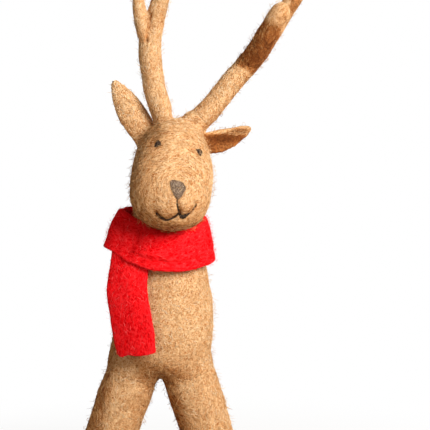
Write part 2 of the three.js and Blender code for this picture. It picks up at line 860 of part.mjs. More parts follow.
// Ears: leaves of felt, each rooted along a straight rounded edge that it bends about.
const earShares = [
  [0.06, 0.42, 1, 0.2],
  [0.16, 0.47, 0.98, 0.4],
  [0.3, 0.5, 0.95, 0.7],
  [0.45, 0.5, 0.92, 0.9],
  [0.6, 0.46, 0.88, 1],
  [0.74, 0.37, 0.84, 0.85],
  [0.86, 0.25, 0.76, 0.5],
  [0.94, 0.15, 0.66, 0.2],
];
const earRootShares = [0.35, 0.7, 0.92]; // of the quarter turn of its rounded root
const earRootWidthShare = 0.4;
const earSides = 18;

// A leaf's cross-section: thin and oval, with both edges curled towards the face by the cup
function earRing(frame, distance, halfWidth, halfThickness, curl) {
  return Array.from({ length: earSides }, (_, j) => {
    const angle = (2 * Math.PI * j) / earSides;
    const across = Math.cos(angle);
    return frame.root
      .clone()
      .addScaledVector(frame.along, distance)
      .addScaledVector(frame.across, across * halfWidth)
      .addScaledVector(frame.face, Math.sin(angle) * halfThickness + curl * across * across);
  });
}

function earForm(frame, cup, fill) {
  const half = earThickness / 2;
  const stations = earRootShares.map((share) => {
    const angle = (share * Math.PI) / 2;
    const rootWidth = (earRootWidthShare + fill) * earWidth;
    return earRing(frame, -half * Math.cos(angle), rootWidth, half * Math.sin(angle), 0);
  });
  earShares.forEach(([at, wide, thick, curl]) => {
    const halfWidth = (wide + fill * (1 - at) ** 2) * earWidth;
    stations.push(earRing(frame, at * earLength, halfWidth, half * thick, cup * curl));
  });
  stations.push([frame.root.clone().addScaledVector(frame.along, earLength)]);
  return loft(stations);
}

// The slot that an ear's root turns in: a round bottom and walls that flare by the swing
function earSlot(frame, fill) {
  const room = earThickness / 2 + fitGap;
  const depth = earThickness * 3;
  const flare = room + depth * Math.tan(radians(earSwing + spareSwing));
  const outline = Array.from({ length: 9 }, (_, i) => {
    const angle = Math.PI * (i / 8);
    return new THREE.Vector2(room * Math.cos(angle), -room * Math.sin(angle));
  });
  outline.push(new THREE.Vector2(-flare, depth), new THREE.Vector2(flare, depth));
  const width = earWidth * (0.94 + fill * 2) + fitGap * 2;
  const section = new THREE.Shape(outline);
  const geometry = new THREE.ExtrudeGeometry(section, { depth: width, bevelEnabled: false });
  geometry.translate(0, 0, -width / 2);
  const basis = new THREE.Matrix4().makeBasis(frame.face, frame.along, frame.across.clone().negate());
  basis.setPosition(frame.root);
  return solidOf(geometry.applyMatrix4(basis));
}

// The right ear shows its back and the left one its hollow. The fill broadens an ear's root, as a
// share of its width.
[
  {
    name: 'ear_right',
    rootShares: [-0.29, 0.071, 0.312],
    along: vector(-0.5, 0, 0.86),
    face: vector(-0.3, 1, 0),
    cup: earCup / 2,
    fill: 0.05,
  },
  {
    name: 'ear_left',
    rootShares: [0.404, 0.071, 0.258],
    along: vector(0.73, 0.64, 0.17),
    face: vector(0.55, -0.62, -0.5),
    cup: earCup,
    fill: 0.08,
  },
].forEach(({ name, rootShares, along, face, cup, fill }) => {
  const root = headPlace(rootShares);
  along.normalize();
  const across = vector(0, 0, 0).crossVectors(face, along).normalize();
  const frame = { root, along, across, face: vector(0, 0, 0).crossVectors(along, across).normalize() };
  add(name, earForm(frame, cup, fill), wool);
  head = head.subtract(earSlot(frame, fill));
});
add('head', head, wool);

// Scarf: a strip of felt wound round the neck. Each place round the neck, from the left side
// by way of the back: shares of the width for the lower edge's height and the two edges' reach.
const scarfBase = shoulderTop - scarfWidth / 2; // lowest point of the wrap
const scarfReachAcross = chestWidth * 0.51; // usual reach of its lower edge from the neck's axis
const scarfReachAhead = chestDepth * 0.543;
const wrapShares = [
  [0, 0.19, 1.03, 0.86],
  [45, 0.2, 0.98, 0.78],
  [90, 0.22, 0.96, 0.745],
  [135, 0.34, 1.04, 0.78],
  [180, 0.58, 1.2, 0.8],
  [215, 0.4, 1.2, 0.82],
  [250, 0.1, 1.1, 0.84],
  [285, 0, 1.06, 0.86],
  [320, 0.06, 1.06, 0.88],
];
const wrapSteps = 40;
const wrapLevelShares = [0, 0.33, 0.67, 1];

// A value round the neck, eased between the two nearest places of a table of shares
function roundTheNeck(angle, column) {
  const turn = ((angle % 360) + 360) % 360;
  const count = wrapShares.length;
  const row = (i) => wrapShares[((i % count) + count) % count];
  let i = count - 1;
  while (wrapShares[i][0] > turn) i -= 1;
  const next = i + 1 < count ? wrapShares[i + 1][0] : 360;
  const t = (turn - wrapShares[i][0]) / (next - wrapShares[i][0]);
  const [a, b, c, d] = [row(i - 1)[column], row(i)[column], row(i + 1)[column], row(i + 2)[column]];
  return b + 0.5 * t * (c - a + t * (2 * a - 5 * b + 4 * c - d + t * (3 * (b - c) + d - a)));
}

function scarfReach(angle) {
  const turn = radians(angle);
  return Math.hypot(scarfReachAcross * Math.cos(turn), scarfReachAhead * Math.sin(turn));
}

function wrapPoint(angle, level, outward) {
  const low = scarfBase + roundTheNeck(angle, 1) * scarfWidth;
  const reachLow = roundTheNeck(angle, 2) * scarfReach(angle);
  const reachHigh = roundTheNeck(angle, 3) * scarfReach(angle);
  const lean = reachLow - reachHigh;
  const rise = Math.sqrt(Math.max(scarfWidth * scarfWidth - lean * lean, 0));
  const belly = Math.sin(Math.PI * level) * scarfThickness * 0.9;
  const reach = THREE.MathUtils.lerp(reachLow, reachHigh, level) + belly - outward;
  const turn = radians(angle);
  return vector(reach * Math.cos(turn), reach * Math.sin(turn), low + rise * level);
}

// A closed ring: the section goes up the outer face and down the inner one.
function wrapForm() {
  const levels = wrapLevelShares;
  const sections = Array.from({ length: wrapSteps }, (_, i) => {
    const angle = (360 * i) / wrapSteps;
    return [
      ...levels.map((level) => wrapPoint(angle, level, 0)),
      ...[...levels].reverse().map((level) => wrapPoint(angle, level, scarfThickness)),
    ];
  });
  const size = sections[0].length;
  const positions = sections.flatMap((ring) => ring.flatMap((p) => [p.x, p.y, p.z]));
  const index = [];
  for (let i = 0; i < wrapSteps; i += 1) {
    for (let j = 0; j < size; j += 1) {
      const a = i * size + j;
      const b = i * size + ((j + 1) % size);
      const c = ((i + 1) % wrapSteps) * size + ((j + 1) % size);
      const d = ((i + 1) % wrapSteps) * size + j;
      index.push(a, b, c, a, c, d);
    }
  }
  const geometry = new THREE.BufferGeometry();
  geometry.setAttribute('position', new THREE.Float32BufferAttribute(positions, 3));
  geometry.setIndex(index);
  return solidOf(geometry);
}

// Scarf end: the strip's end, which comes out from under the wrap and hangs down the chest.
const endBearing = 232; // where it comes out, counted as the places of the wrap are
const endReach = scarfReach(endBearing) * 1.106;
const endHinge = vector(
  endReach * Math.cos(radians(endBearing)),
  endReach * Math.sin(radians(endBearing)),
  scarfBase,
);
const endFacing = 24; // how far its face is turned towards the animal's right
const endAcross = vector(Math.cos(radians(endFacing)), -Math.sin(radians(endFacing)), 0);
const endOut = vector(-Math.sin(radians(endFacing)), -Math.cos(radians(endFacing)), 0);
// Each station: share of the length down, drift across and reach outward as shares of the width
const endShares = [
  [0.01, 0, 0],
  [0.12, -0.01, 0.03],
  [0.3, 0, 0.09],
  [0.5, 0.03, 0.12],
  [0.7, 0.09, 0.12],
  [0.86, 0.14, 0.1],
  [1, 0.18, 0.08],
];
const tuckShares = [
  [-0.03, 0, 0],
  [-0.5, 0, -0.03],
  [-1, 0.02, -0.08],
];

const stripWaveShare = 0.9;
const stripLean = 9; // how far the lower edge tilts, in degrees

// A flat oval of felt across the strip, its corners a little rounded
function stripRing(centre, wave, tilt) {
  const half = scarfWidth / 2;
  const thick = scarfThickness / 2;
  const level = endAcross.clone().multiplyScalar(Math.cos(tilt)).addScaledVector(up, Math.sin(tilt));
  const point = (x, y) =>
    centre
      .clone()
      .addScaledVector(level, x * half)
      .addScaledVector(endOut, y * thick + wave * Math.cos(Math.PI * x) * thick);
  const across = [-0.94, -0.5, 0, 0.5, 0.94];
  return [
    point(-1, 0),
    ...across.map((x) => point(x, -1)),
    point(1, 0),
    ...[...across].reverse().map((x) => point(x, 1)),
  ];
}

function stripForm(shares, length) {
  return loft(
    shares.map(([down, drift, out]) =>
      stripRing(
        endHinge
          .clone()
          .addScaledVector(up, -down * length)
          .addScaledVector(endAcross, drift * scarfWidth)
          .addScaledVector(endOut, out * scarfWidth),
        Math.max(down, 0) * stripWaveShare,
        radians(Math.max(down, 0) * stripLean),
      ),
    ),
  );
}

add('scarf_end', stripForm(endShares, scarfEndLength), redFelt);
add('scarf_wrap', wrapForm().add(stripForm(tuckShares, scarfTuckLength)), redFelt);

// The origin is the middle of the part's box, on the floor.
const model = new THREE.Group();
model.add(reindeer);
model.updateMatrixWorld(true);
const box = new THREE.Box3().setFromObject(reindeer, true);
const middle = box.getCenter(vector(0, 0, 0));
reindeer.position.set(-middle.x, -middle.y, -box.min.z);

export default model;
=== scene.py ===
import functools
import json
import math

import bmesh
import bpy
import numpy as np
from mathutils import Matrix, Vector, noise
from mathutils.bvhtree import BVHTree


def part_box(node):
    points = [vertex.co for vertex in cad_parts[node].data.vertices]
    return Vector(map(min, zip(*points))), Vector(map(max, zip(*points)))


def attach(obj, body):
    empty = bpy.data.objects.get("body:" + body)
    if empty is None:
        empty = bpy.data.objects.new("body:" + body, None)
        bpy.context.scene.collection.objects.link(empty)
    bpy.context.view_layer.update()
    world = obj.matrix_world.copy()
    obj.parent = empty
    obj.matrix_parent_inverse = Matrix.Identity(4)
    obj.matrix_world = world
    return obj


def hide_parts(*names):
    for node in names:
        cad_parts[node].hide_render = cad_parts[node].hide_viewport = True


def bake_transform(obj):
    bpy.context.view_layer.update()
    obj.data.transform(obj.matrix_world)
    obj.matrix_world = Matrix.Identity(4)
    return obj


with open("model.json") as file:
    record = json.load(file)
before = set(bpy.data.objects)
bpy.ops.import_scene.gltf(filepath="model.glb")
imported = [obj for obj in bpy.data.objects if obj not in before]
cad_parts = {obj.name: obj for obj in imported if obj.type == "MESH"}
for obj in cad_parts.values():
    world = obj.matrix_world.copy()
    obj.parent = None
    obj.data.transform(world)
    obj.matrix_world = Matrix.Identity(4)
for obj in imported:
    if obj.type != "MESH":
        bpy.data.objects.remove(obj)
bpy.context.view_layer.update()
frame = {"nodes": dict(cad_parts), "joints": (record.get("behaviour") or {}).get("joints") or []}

# Studio: the camera stands at the photograph's angle, a little above the animal's head, and sees
# it from the shins to the antler tips. A large soft lamp from the upper right models the wool,
# a weaker one fills the shaded side, and the white paper behind lights all of it evenly.
MM = 0.001
neck_low, neck_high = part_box("neck_wire")
axis_x, axis_y = (neck_low.x + neck_high.x) / 2, (neck_low.y + neck_high.y) / 2


def at(x, y, z):
    """A place in millimetres from the neck's axis and the floor, as a point of the frame."""
    return Vector((axis_x + x * MM, axis_y + y * MM, z * MM))


def linear(hex_colour):
    """An sRGB colour such as "#EBC08A" as linear red, green, blue and alpha."""
    parts = [int(hex_colour[i : i + 2], 16) / 255 for i in (1, 3, 5)]
    return [p / 12.92 if p <= 0.04045 else ((p + 0.055) / 1.055) ** 2.4 for p in parts] + [1.0]


def add_node(tree, kind, inputs=(), **settings):
    """Adds a node with its settings. Its inputs come in order, or by name or number. Each is a
    value, another node's output, or a node, which then stands for its first output."""
    node = tree.nodes.new(kind)
    for key, value in settings.items():
        setattr(node, key, value)
    for key, value in inputs.items() if isinstance(inputs, dict) else enumerate(inputs):
        if isinstance(value, bpy.types.Node):
            value = value.outputs[0]
        if isinstance(value, bpy.types.NodeSocket):
            tree.links.new(value, node.inputs[key])
        else:
            node.inputs[key].default_value = value
    return node


def new_material(name):
    """A material that is still empty, and add_node for its tree."""
    material = bpy.data.materials.new(name)
    material.use_nodes = True
    material.node_tree.nodes.clear()
    return material, functools.partial(add_node, material.node_tree)


def add_object(name, data):
    thing = bpy.data.objects.new(name, data)
    bpy.context.scene.collection.objects.link(thing)
    return thing


view_height = 215 * MM  # what the picture's height takes in at the neck
view_distance = 0.9
view_elevation = math.radians(8)
view_aim = at(25.5, 0, 172.5)
camera_data = bpy.data.cameras.new("camera")
camera_data.sensor_width = 36
camera_data.lens = 36 * view_distance / view_height
camera = add_object("camera", camera_data)
view_back = Vector((0, -math.cos(view_elevation), math.sin(view_elevation)))
camera.location = view_aim + view_back * view_distance
camera.rotation_euler = (math.pi / 2 - view_elevation, 0, 0)
camera_data.clip_start, camera_data.clip_end = 0.05, 20
bpy.context.scene.camera = camera
bpy.context.scene.view_settings.view_transform = "Standard"

# Each lamp: its place in millimetres, its breadth in metres, its power in watts and its tint
for name, place, size, power, tint in (
    ("key_lamp", (370, -440, 450), 0.36, 5.7, "#FFFAF4"),
    ("fill_lamp", (-420, -380, 260), 0.5, 0.47, "#FFF0DE"),
    ("back_lamp", (120, 420, 420), 0.4, 1.1, "#FFFFFF"),
):
    lamp_data = bpy.data.lights.new(name, "AREA")
    lamp_data.shape = "DISK"
    lamp_data.size = size
    lamp_data.energy = power
    lamp_data.color = linear(tint)[:3]
    lamp = add_object(name, lamp_data)
    lamp.location = at(*place)
    lamp.rotation_euler = (at(0, 0, 160) - lamp.location).to_track_quat("-Z", "Y").to_euler()

# Paper: a plain white sheet under and behind the object. Its own colour is plain to the eye of
# the camera and in reflections, and elsewhere it is matt paper that takes the object's shadow.


def seen_plainly(add):
    """1 for the rays of the camera and of reflections, 0 for the light that falls on things."""
    rays = add("ShaderNodeLightPath").outputs
    seen = rays["Is Camera Ray"]
    for other in ("Is Glossy Ray", "Is Transmission Ray"):
        seen = add("ShaderNodeMath", (seen, rays[other]), operation="MAXIMUM")
    return seen


world = bpy.data.worlds.new("white_studio")
bpy.context.scene.world = world
world.use_nodes = True
world.node_tree.nodes.clear()
add = functools.partial(add_node, world.node_tree)
room_light = add("ShaderNodeBackground", {"Color": linear("#FFE9CF"), "Strength": 0.14})
white_sheet = add("ShaderNodeBackground", {"Color": linear("#FFFFFF"), "Strength": 1.0})
sky = add("ShaderNodeMixShader", (seen_plainly(add), room_light, white_sheet))
add("ShaderNodeOutputWorld", (sky,))

paper, add = new_material("matt_white_paper")
spot = add("ShaderNodeTexCoord").outputs["Object"]
seen = seen_plainly(add)
fleck = add("ShaderNodeTexNoise", {"Vector": spot, "Scale": 40.0, "Detail": 3.0})
tone = {"Factor": fleck, 6: linear("#EFEDEA"), 7: linear("#F6F5F2")}
tone = add("ShaderNodeMix", tone, data_type="RGBA").outputs[2]
tone = {"Factor": seen, 6: linear("#A8A29A"), 7: tone}
tone = add("ShaderNodeMix", tone, data_type="RGBA").outputs[2]
matt = add("ShaderNodeBsdfPrincipled", {"Base Color": tone, "Roughness": 0.9})
glow = add("ShaderNodeEmission", {"Color": linear("#FFFFFF"), "Strength": 1.0})
# The sheet glows evenly from 0.3 m outwards, and less near the feet, so that the shadow shows.
far = add("ShaderNodeVectorMath", (spot,), operation="LENGTH").outputs["Value"]
share = {"Value": far, "From Min": 0.1, "From Max": 0.3, "To Min": 0.72, "To Max": 1.0}
share = add("ShaderNodeMapRange", share, interpolation_type="SMOOTHSTEP")
share = add("ShaderNodeMath", (seen, share), operation="MULTIPLY")
sheet = add("ShaderNodeMixShader", (share, matt, glow))
add("ShaderNodeOutputMaterial", (sheet,))
floor_mesh = bpy.data.meshes.new("paper_floor")
floor_reach = 3.0
square = ((-1, -1, 0), (1, -1, 0), (1, 1, 0), (-1, 1, 0))
floor_corners = [Vector(corner) * floor_reach for corner in square]
floor_mesh.from_pydata(floor_corners, [], [(0, 1, 2, 3)])
floor_mesh.materials.append(paper)
floor = add_object("paper_floor", floor_mesh)

# Body and legs: one wool trunk, chest and barrel, with four legs of wool wound on wire and needled
# on until no seam shows. It is carded camel-coloured wool, jabbed with a barbed needle until it
# mats. The trunk is one piece, and each leg's wool is a piece of its own.


def finish_material(add, shade, colours, look):
    """A surface whose shade picks its colour from a row of them; look is the rest of it."""
    ramp = add("ShaderNodeValToRGB", (shade,))
    stops = ramp.color_ramp.elements
    for k in (0, -1):
        stops[k].position, stops[k].color = colours[k][0], linear(colours[k][1])
    for position, colour in colours[1:-1]:
        stops.new(position).color = linear(colour)
    shader = add("ShaderNodeBsdfPrincipled", {"Base Color": ramp, **look})
    add("ShaderNodeOutputMaterial", (shader,))


# The felt has no gloss at all. Its colour runs from cream to chestnut fibre by fibre, and painted
# shade makes it darker and redder where it lies.
def felt_skin(name, deep, middle, light, mottle, bump_depth):
    """The mat under the loose fibres. The crests of a twisted noise are fibres that curl through
    the surface, with darker gaps between them. Real ones lie 0.1 mm apart; these are drawn 1 to
    2 mm apart, so that they show, and the tufts that mottle them are 9 mm wide. The noise reads
    the attribute lie, which is drawn out where the fibres run one way."""
    material, add = new_material(name)
    place = add("ShaderNodeAttribute", attribute_name="lie").outputs["Vector"]
    # Painted shade: this attribute darkens the felt's colour where shade falls.
    sunk = add("ShaderNodeAttribute", attribute_name="sunk").outputs["Fac"]
    crests = 0.0
    for scale, shift, twist in ((470.0, 0.0, 1.6), (700.0, 0.31, 1.2), (1000.0, 0.77, 0.9)):
        moved = add("ShaderNodeVectorMath", (place, (shift, shift * 0.6, -shift)), operation="ADD")
        curl = {"Vector": moved, "Scale": scale, "Detail": 1.0, "Distortion": twist}
        curl = add("ShaderNodeTexNoise", curl)
        off = add("ShaderNodeMath", (curl, 0.5), operation="SUBTRACT")
        off = add("ShaderNodeMath", (off,), operation="ABSOLUTE")
        crest = {"Value": off, "From Min": 0.0, "From Max": 0.08, "To Min": 1.0, "To Max": 0.0}
        crest = add("ShaderNodeMapRange", crest)
        crests = add("ShaderNodeMath", (crests, crest), operation="MAXIMUM")
    tuft = {"Vector": place, "Scale": 110.0, "Detail": 3.0, "Roughness": 0.6}
    tuft = add("ShaderNodeTexNoise", tuft)
    tone = add("ShaderNodeMath", (tuft, mottle, -mottle / 2), operation="MULTIPLY_ADD")
    tone = add("ShaderNodeMath", (crests, tone), operation="ADD")
    tone = add("ShaderNodeMath", (tone, sunk), operation="SUBTRACT")
    bump = add("ShaderNodeBump", {"Height": crests, "Distance": bump_depth * MM, "Strength": 0.7})
    look = {"Normal": bump, "Roughness": 1.0, "Specular IOR Level": 0.04}
    finish_material(add, tone, ((0.0, deep), (0.45, middle), (0.95, light)), look)
    return material


def fibre_material(name, colours):
    """Single fibres, each with a shade of its own."""
    material, add = new_material(name)
    shade = add("ShaderNodeAttribute", attribute_name="shade").outputs["Fac"]
    finish_material(add, shade, colours, {"Roughness": 0.9, "Specular IOR Level": 0.08})
    return material


camel_felt = felt_skin("needle_felted_camel_wool", "#AC6936", "#D4985E", "#EECB9E", 0.45, 0.15)
camel_colours = [(0.0, "#884D28"), (0.1, "#B27845"), (0.3, "#DCA86E")]
camel_colours += [(0.65, "#EBC593"), (0.9, "#F6D9AE"), (1.0, "#FCEBCB")]
camel_fibres = fibre_material("loose_camel_wool_fibres", camel_colours)


def fibre_tree():
    """Fibres that lie on a skin: each is a short line laid along the skin's grain, waved, drawn
    onto the skin and lifted a little between its ends. Some stand off at one end."""
    tree = bpy.data.node_groups.new("lay_fibres", "GeometryNodeTree")
    add = functools.partial(add_node, tree)
    sizes = ["Density", "Length", "Width", "Lift", "Curl", "Wave", "Spread"]
    kinds = {"Skin": "Geometry", "Seed": "Int", "Material": "Material"}
    kinds |= dict.fromkeys([*sizes, "Stray Lift", "Stray Share"], "Float")
    for label, kind in kinds.items():
        tree.interface.new_socket(label, in_out="INPUT", socket_type="NodeSocket" + kind)
    tree.interface.new_socket("Fibres", in_out="OUTPUT", socket_type="NodeSocketGeometry")
    given = add("NodeGroupInput").outputs
    skin = given["Skin"]
    # Values by name: what is given, what skin and fibres carry, and six chances for each fibre
    values = dict(given.items())
    for label in ("cover", "sunk", "stray", "reach"):
        values[label] = add("GeometryNodeInputNamedAttribute", (label,), data_type="FLOAT")
    values["along"] = add("GeometryNodeSplineParameter")
    for label, low, high, offset in (
        ("any swing", -1.0, 1.0, 1),
        ("any length", 0.5, 1.4, 2),
        ("any shade", 0.14, 1.0, 3),
        ("any stray", 0.0, 1.0, 4),
        ("any reach", 0.1, 1.0, 5),
        ("any curl", -1.0, 1.0, 6),
    ):
        seed = add("FunctionNodeIntegerMath", (given["Seed"], offset))
        limits = {2: low, 3: high, 8: seed}
        chance = add("FunctionNodeRandomValue", limits, data_type="FLOAT")
        values[label] = chance.outputs[1]
    # Each row: a new value's name, how it is worked out, and the values or numbers it takes.
    # About three strays in four are loops, and the others are ends that stand off the skin.
    for label, way, *terms in (
        ("density", "MULTIPLY", "cover", "Density"),
        ("swing", "MULTIPLY", "any swing", "Spread"),
        ("length", "MULTIPLY", "Length", "any length"),
        ("curl", "MULTIPLY", "any curl", "Curl"),
        ("curl", "MULTIPLY", "length", "curl"),
        # A fibre's shade is its random tone, darkened by the painted shade of the skin under it.
        ("shade", "SUBTRACT", "any shade", "sunk"),
        ("arch", "MULTIPLY", "along", math.pi),
        ("arch", "SINE", "arch"),
        ("lift", "MULTIPLY_ADD", "arch", 1.35, -0.35),
        ("lift", "MULTIPLY", "lift", "Lift"),
        ("is stray", "LESS_THAN", "stray", "Stray Share"),
        ("is loop", "LESS_THAN", "reach", 0.75),
        ("is end", "SUBTRACT", 1.0, "is loop"),
        ("loop", "MULTIPLY", "arch", "is loop"),
        ("end", "POWER", "along", 2.2),
        ("rise", "MULTIPLY_ADD", "end", "is end", "loop"),
        ("far", "POWER", "reach", 2.0),
        ("rise", "MULTIPLY", "rise", "far"),
        ("rise", "MULTIPLY", "rise", "Stray Lift"),
        ("rise", "MULTIPLY", "is stray", "rise"),
        ("lift", "ADD", "lift", "rise"),
        ("taper", "MULTIPLY_ADD", "arch", 0.75, 0.25),
        ("thin", "MULTIPLY_ADD", "is stray", -0.35, 1.0),
        ("taper", "MULTIPLY", "taper", "thin"),
        ("width", "MULTIPLY", "taper", "Width"),
    ):
        terms = [values.get(term, term) for term in terms]
        values[label] = add("ShaderNodeMath", terms, operation=way)

    spots = {"Mesh": skin, "Density": values["density"], "Seed": given["Seed"]}
    spots = add("GeometryNodeDistributePointsOnFaces", spots)
    lie = add("GeometryNodeInputNamedAttribute", ("grain",), data_type="FLOAT_VECTOR")
    laid = (spots.outputs["Normal"], lie)
    laid = add("FunctionNodeAxesToRotation", laid, primary_axis="Z", secondary_axis="X")
    swing = add("FunctionNodeAxisAngleToRotation", ((0, 0, 1), values["swing"]))
    turned = add("FunctionNodeRotateRotation", (laid, swing), rotation_space="LOCAL")
    bend = {"Resolution": 3, "Start": (-0.5, 0, 0), "Middle": (0, 1.0, 0), "End": (0.5, 0, 0)}
    bend = add("GeometryNodeCurveQuadraticBezier", bend)
    size = add("ShaderNodeCombineXYZ", [values[label] for label in ("length", "curl", "length")])
    laid = {"Points": spots, "Instance": bend, "Rotation": turned, "Scale": size}
    laid = add("GeometryNodeInstanceOnPoints", laid)
    for label, value in (("shade", "shade"), ("stray", "any stray"), ("reach", "any reach")):
        laid = {"Geometry": laid, "Name": label, 3: values[value]}
        laid = add("GeometryNodeStoreNamedAttribute", laid, data_type="FLOAT", domain="INSTANCE")
    laid = add("GeometryNodeRealizeInstances", (laid,))

    # A fibre wanders by a noise of 3 mm, about its own length.
    place = add("GeometryNodeInputPosition")
    ripple = add("ShaderNodeTexNoise", {"Vector": place, "Scale": 330.0, "Detail": 1.0})
    ripple = (ripple.outputs["Color"], (0.5, 0.5, 0.5))
    ripple = add("ShaderNodeVectorMath", ripple, operation="SUBTRACT")
    ripple = add("ShaderNodeVectorMath", {0: ripple, 3: given["Wave"]}, operation="SCALE")
    waved = add("ShaderNodeVectorMath", (place, ripple), operation="ADD")
    nearest = {0: skin, "Sample Position": waved}
    nearest = add("GeometryNodeProximity", nearest, target_element="FACES")
    outward = {"Mesh": skin, 1: add("GeometryNodeInputNormal"), "Sample Position": waved}
    outward = add("GeometryNodeSampleNearestSurface", outward, data_type="FLOAT_VECTOR")
    lifted = add("ShaderNodeVectorMath", {0: outward, 3: values["lift"]}, operation="SCALE")
    target = add("ShaderNodeVectorMath", (nearest, lifted), operation="ADD")
    laid = add("GeometryNodeSetPosition", {"Geometry": laid, "Position": target})
    section = add("GeometryNodeCurvePrimitiveCircle", {"Resolution": 3, "Radius": 0.5})
    tubes = {"Curve": laid, "Profile Curve": section, "Scale": values["width"], "Fill Caps": True}
    tubes = add("GeometryNodeCurveToMesh", tubes)
    whole = add("GeometryNodeRealizeInstances", (tubes,))
    done = add("GeometryNodeSetMaterial", {"Geometry": whole, "Material": given["Material"]})
    add("NodeGroupOutput", {"Fibres": done})
    return tree


lay_fibres = fibre_tree()


def modified(thing, *steps):
    """The mesh of an object after more modifiers, each given by its type and its settings."""
    for kind, settings in steps:
        modifier = thing.modifiers.new(kind, kind)
        for key, value in settings.items():
            setattr(modifier, key, value)
    ready = thing.evaluated_get(bpy.context.evaluated_depsgraph_get())
    return bpy.data.meshes.new_from_object(ready)


def fibres_on(skin, name, material, lay):
    """Loose fibres over a skin, as a plain mesh of their own, laid by the tree's inputs, with
    sizes in millimetres. None goes through the floor."""
    modifier = skin.modifiers.new("fibres", "NODES")
    modifier.node_group = lay_fibres
    sockets = {s.name: s.identifier for s in lay_fibres.interface.items_tree if s.in_out == "INPUT"}
    in_mm = ("length", "width", "lift", "wave", "stray_lift")
    for key, value in {**lay, "material": material}.items():
        label = key.replace("_", " ").title()
        modifier[sockets[label]] = value * MM if key in in_mm else value
    mesh = modified(skin)
    skin.modifiers.remove(modifier)
    lowest = 0.1 * MM
    spots = np.empty(len(mesh.vertices) * 3)
    mesh.vertices.foreach_get("co", spots)
    spots[2::3] = np.maximum(spots[2::3], lowest)
    mesh.vertices.foreach_set("co", spots)
    mesh.name = name
    return add_object(name, mesh)


def solids(names, filled):
    """Copies of the frame's solids in one mesh. A filled one loses the reliefs cut for joints."""
    whole = bmesh.new()
    for node in names:
        part = bmesh.new()
        part.from_mesh(frame["nodes"][node].data)
        bmesh.ops.remove_doubles(part, verts=part.verts, dist=1e-6)
        if node in filled:
            points = [v.co.copy() for v in part.verts]
            part.clear()
            for point in points:
                part.verts.new(point)
            spare = bmesh.ops.convex_hull(part, input=part.verts)["geom_interior"]
            bmesh.ops.delete(part, geom=spare, context="VERTS")
            bmesh.ops.recalc_face_normals(part, faces=part.faces)
        mesh = bpy.data.meshes.new(node)
        part.to_mesh(mesh)
        part.free()
        whole.from_mesh(mesh)
    mesh = bpy.data.meshes.new("solids")
    whole.to_mesh(mesh)
    whole.free()
    return mesh


def felted(groups, filled, cell, fillet, rounds):
    """One skin over groups of solids. Within a group the inner corners are filled, as worked wool
    fills them, and between the groups they stay open. A later group stands a little proud."""
    layers = bmesh.new()
    proud = 0.2 * MM
    remesh = ("REMESH", {"mode": "VOXEL", "voxel_size": cell})
    for i, names in enumerate(groups):
        grow = ("DISPLACE", {"mid_level": 0, "strength": fillet})
        shrink = ("DISPLACE", {"mid_level": 0, "strength": -fillet + proud * i})
        layer = add_object("layer", solids(names, filled))
        layers.from_mesh(modified(layer, remesh, grow, remesh, shrink))
        bpy.data.objects.remove(layer)
    whole = bpy.data.meshes.new("whole")
    layers.to_mesh(whole)
    layers.free()
    skin = add_object("skin", whole)
    mesh = modified(skin, remesh, ("SMOOTH", {"factor": 0.5, "iterations": rounds}))
    bpy.data.objects.remove(skin)
    places = np.empty(len(mesh.vertices) * 3)
    mesh.vertices.foreach_get("co", places)
    places = places.reshape(-1, 3)
    corners = np.empty(len(mesh.loops), int)
    mesh.loops.foreach_get("vertex_index", corners)
    faces = corners.reshape(-1, 4)
    # Only the largest island stays: what the solids hold inside is left out.
    island = np.arange(len(places))
    settled = False
    while not settled:
        before = island.copy()
        lowest = island[faces].min(axis=1)
        for k in range(4):
            np.minimum.at(island, faces[:, k], lowest)
        island = island[island]
        settled = (island == before).all()
    largest = np.bincount(island).argmax()
    return places, faces[island[faces[:, 0]] == largest]


def eased(places, faces, share, rounds):
    """Evens out a skin by each point's share."""
    edges = np.concatenate([faces[:, [k, (k + 1) % 4]] for k in range(4)])
    count = np.bincount(edges[:, 0], minlength=len(places))
    for _ in range(rounds):
        near = [np.bincount(edges[:, 0], places[edges[:, 1], k], len(places)) for k in range(3)]
        places = places + (np.column_stack(near) / count[:, None] - places) * share[:, None]
    return places


def unit(rows, least=1e-6):
    """Vectors in rows, each made one long, unless it is shorter than the least."""
    return rows / np.maximum(np.linalg.norm(rows, axis=1, keepdims=True), least)


def normals_of(places, faces):
    """Unit normals at the points of a skin of quads."""
    a, b, c, d = (places[faces[:, k]] for k in range(4))
    flat = np.cross(c - a, d - b)
    total = np.zeros_like(places)
    for k in range(4):
        np.add.at(total, faces[:, k], flat)
    return unit(total, 1e-12)


def lumps(places, normals, height, width, seed):
    """Raises and lowers a skin by soft lumps, as needled wool never comes out quite even."""
    shift = Vector((seed, seed * 0.7, 0))
    rise = np.array([noise.noise(Vector(p) / width + shift) for p in places])
    return places + normals * (rise * height)[:, None]


def grain_along(direction, normals):
    """A grain that follows a direction as closely as the skin allows."""
    return unit(direction - normals * (direction * normals).sum(axis=1, keepdims=True))


noise.seed_set(7)  # else noise_vector takes its offsets from the clock


def curled(normals, places, width, seed):
    """A grain that wanders over the skin."""
    shift = Vector((seed, 0, seed))
    wander = np.array([noise.noise_vector(Vector(p) / width + shift) for p in places])
    return grain_along(wander, normals)


def tell_fibres(mesh, grain, lie, sunk, cover):
    """Attributes that say how fibres lie: grain is their direction, lie the place that the felt's
    pattern reads, then how much painted shade darkens their colour, and cover how densely a face is
    covered."""
    for label, kind, domain, key, values in (
        ("grain", "FLOAT_VECTOR", "POINT", "vector", grain),
        ("lie", "FLOAT_VECTOR", "POINT", "vector", lie),
        ("sunk", "FLOAT", "POINT", "value", sunk),
        ("cover", "FLOAT", "FACE", "value", cover),
    ):
        values = np.asarray(values, float).ravel()
        mesh.attributes.new(label, kind, domain).data.foreach_set(key, values)


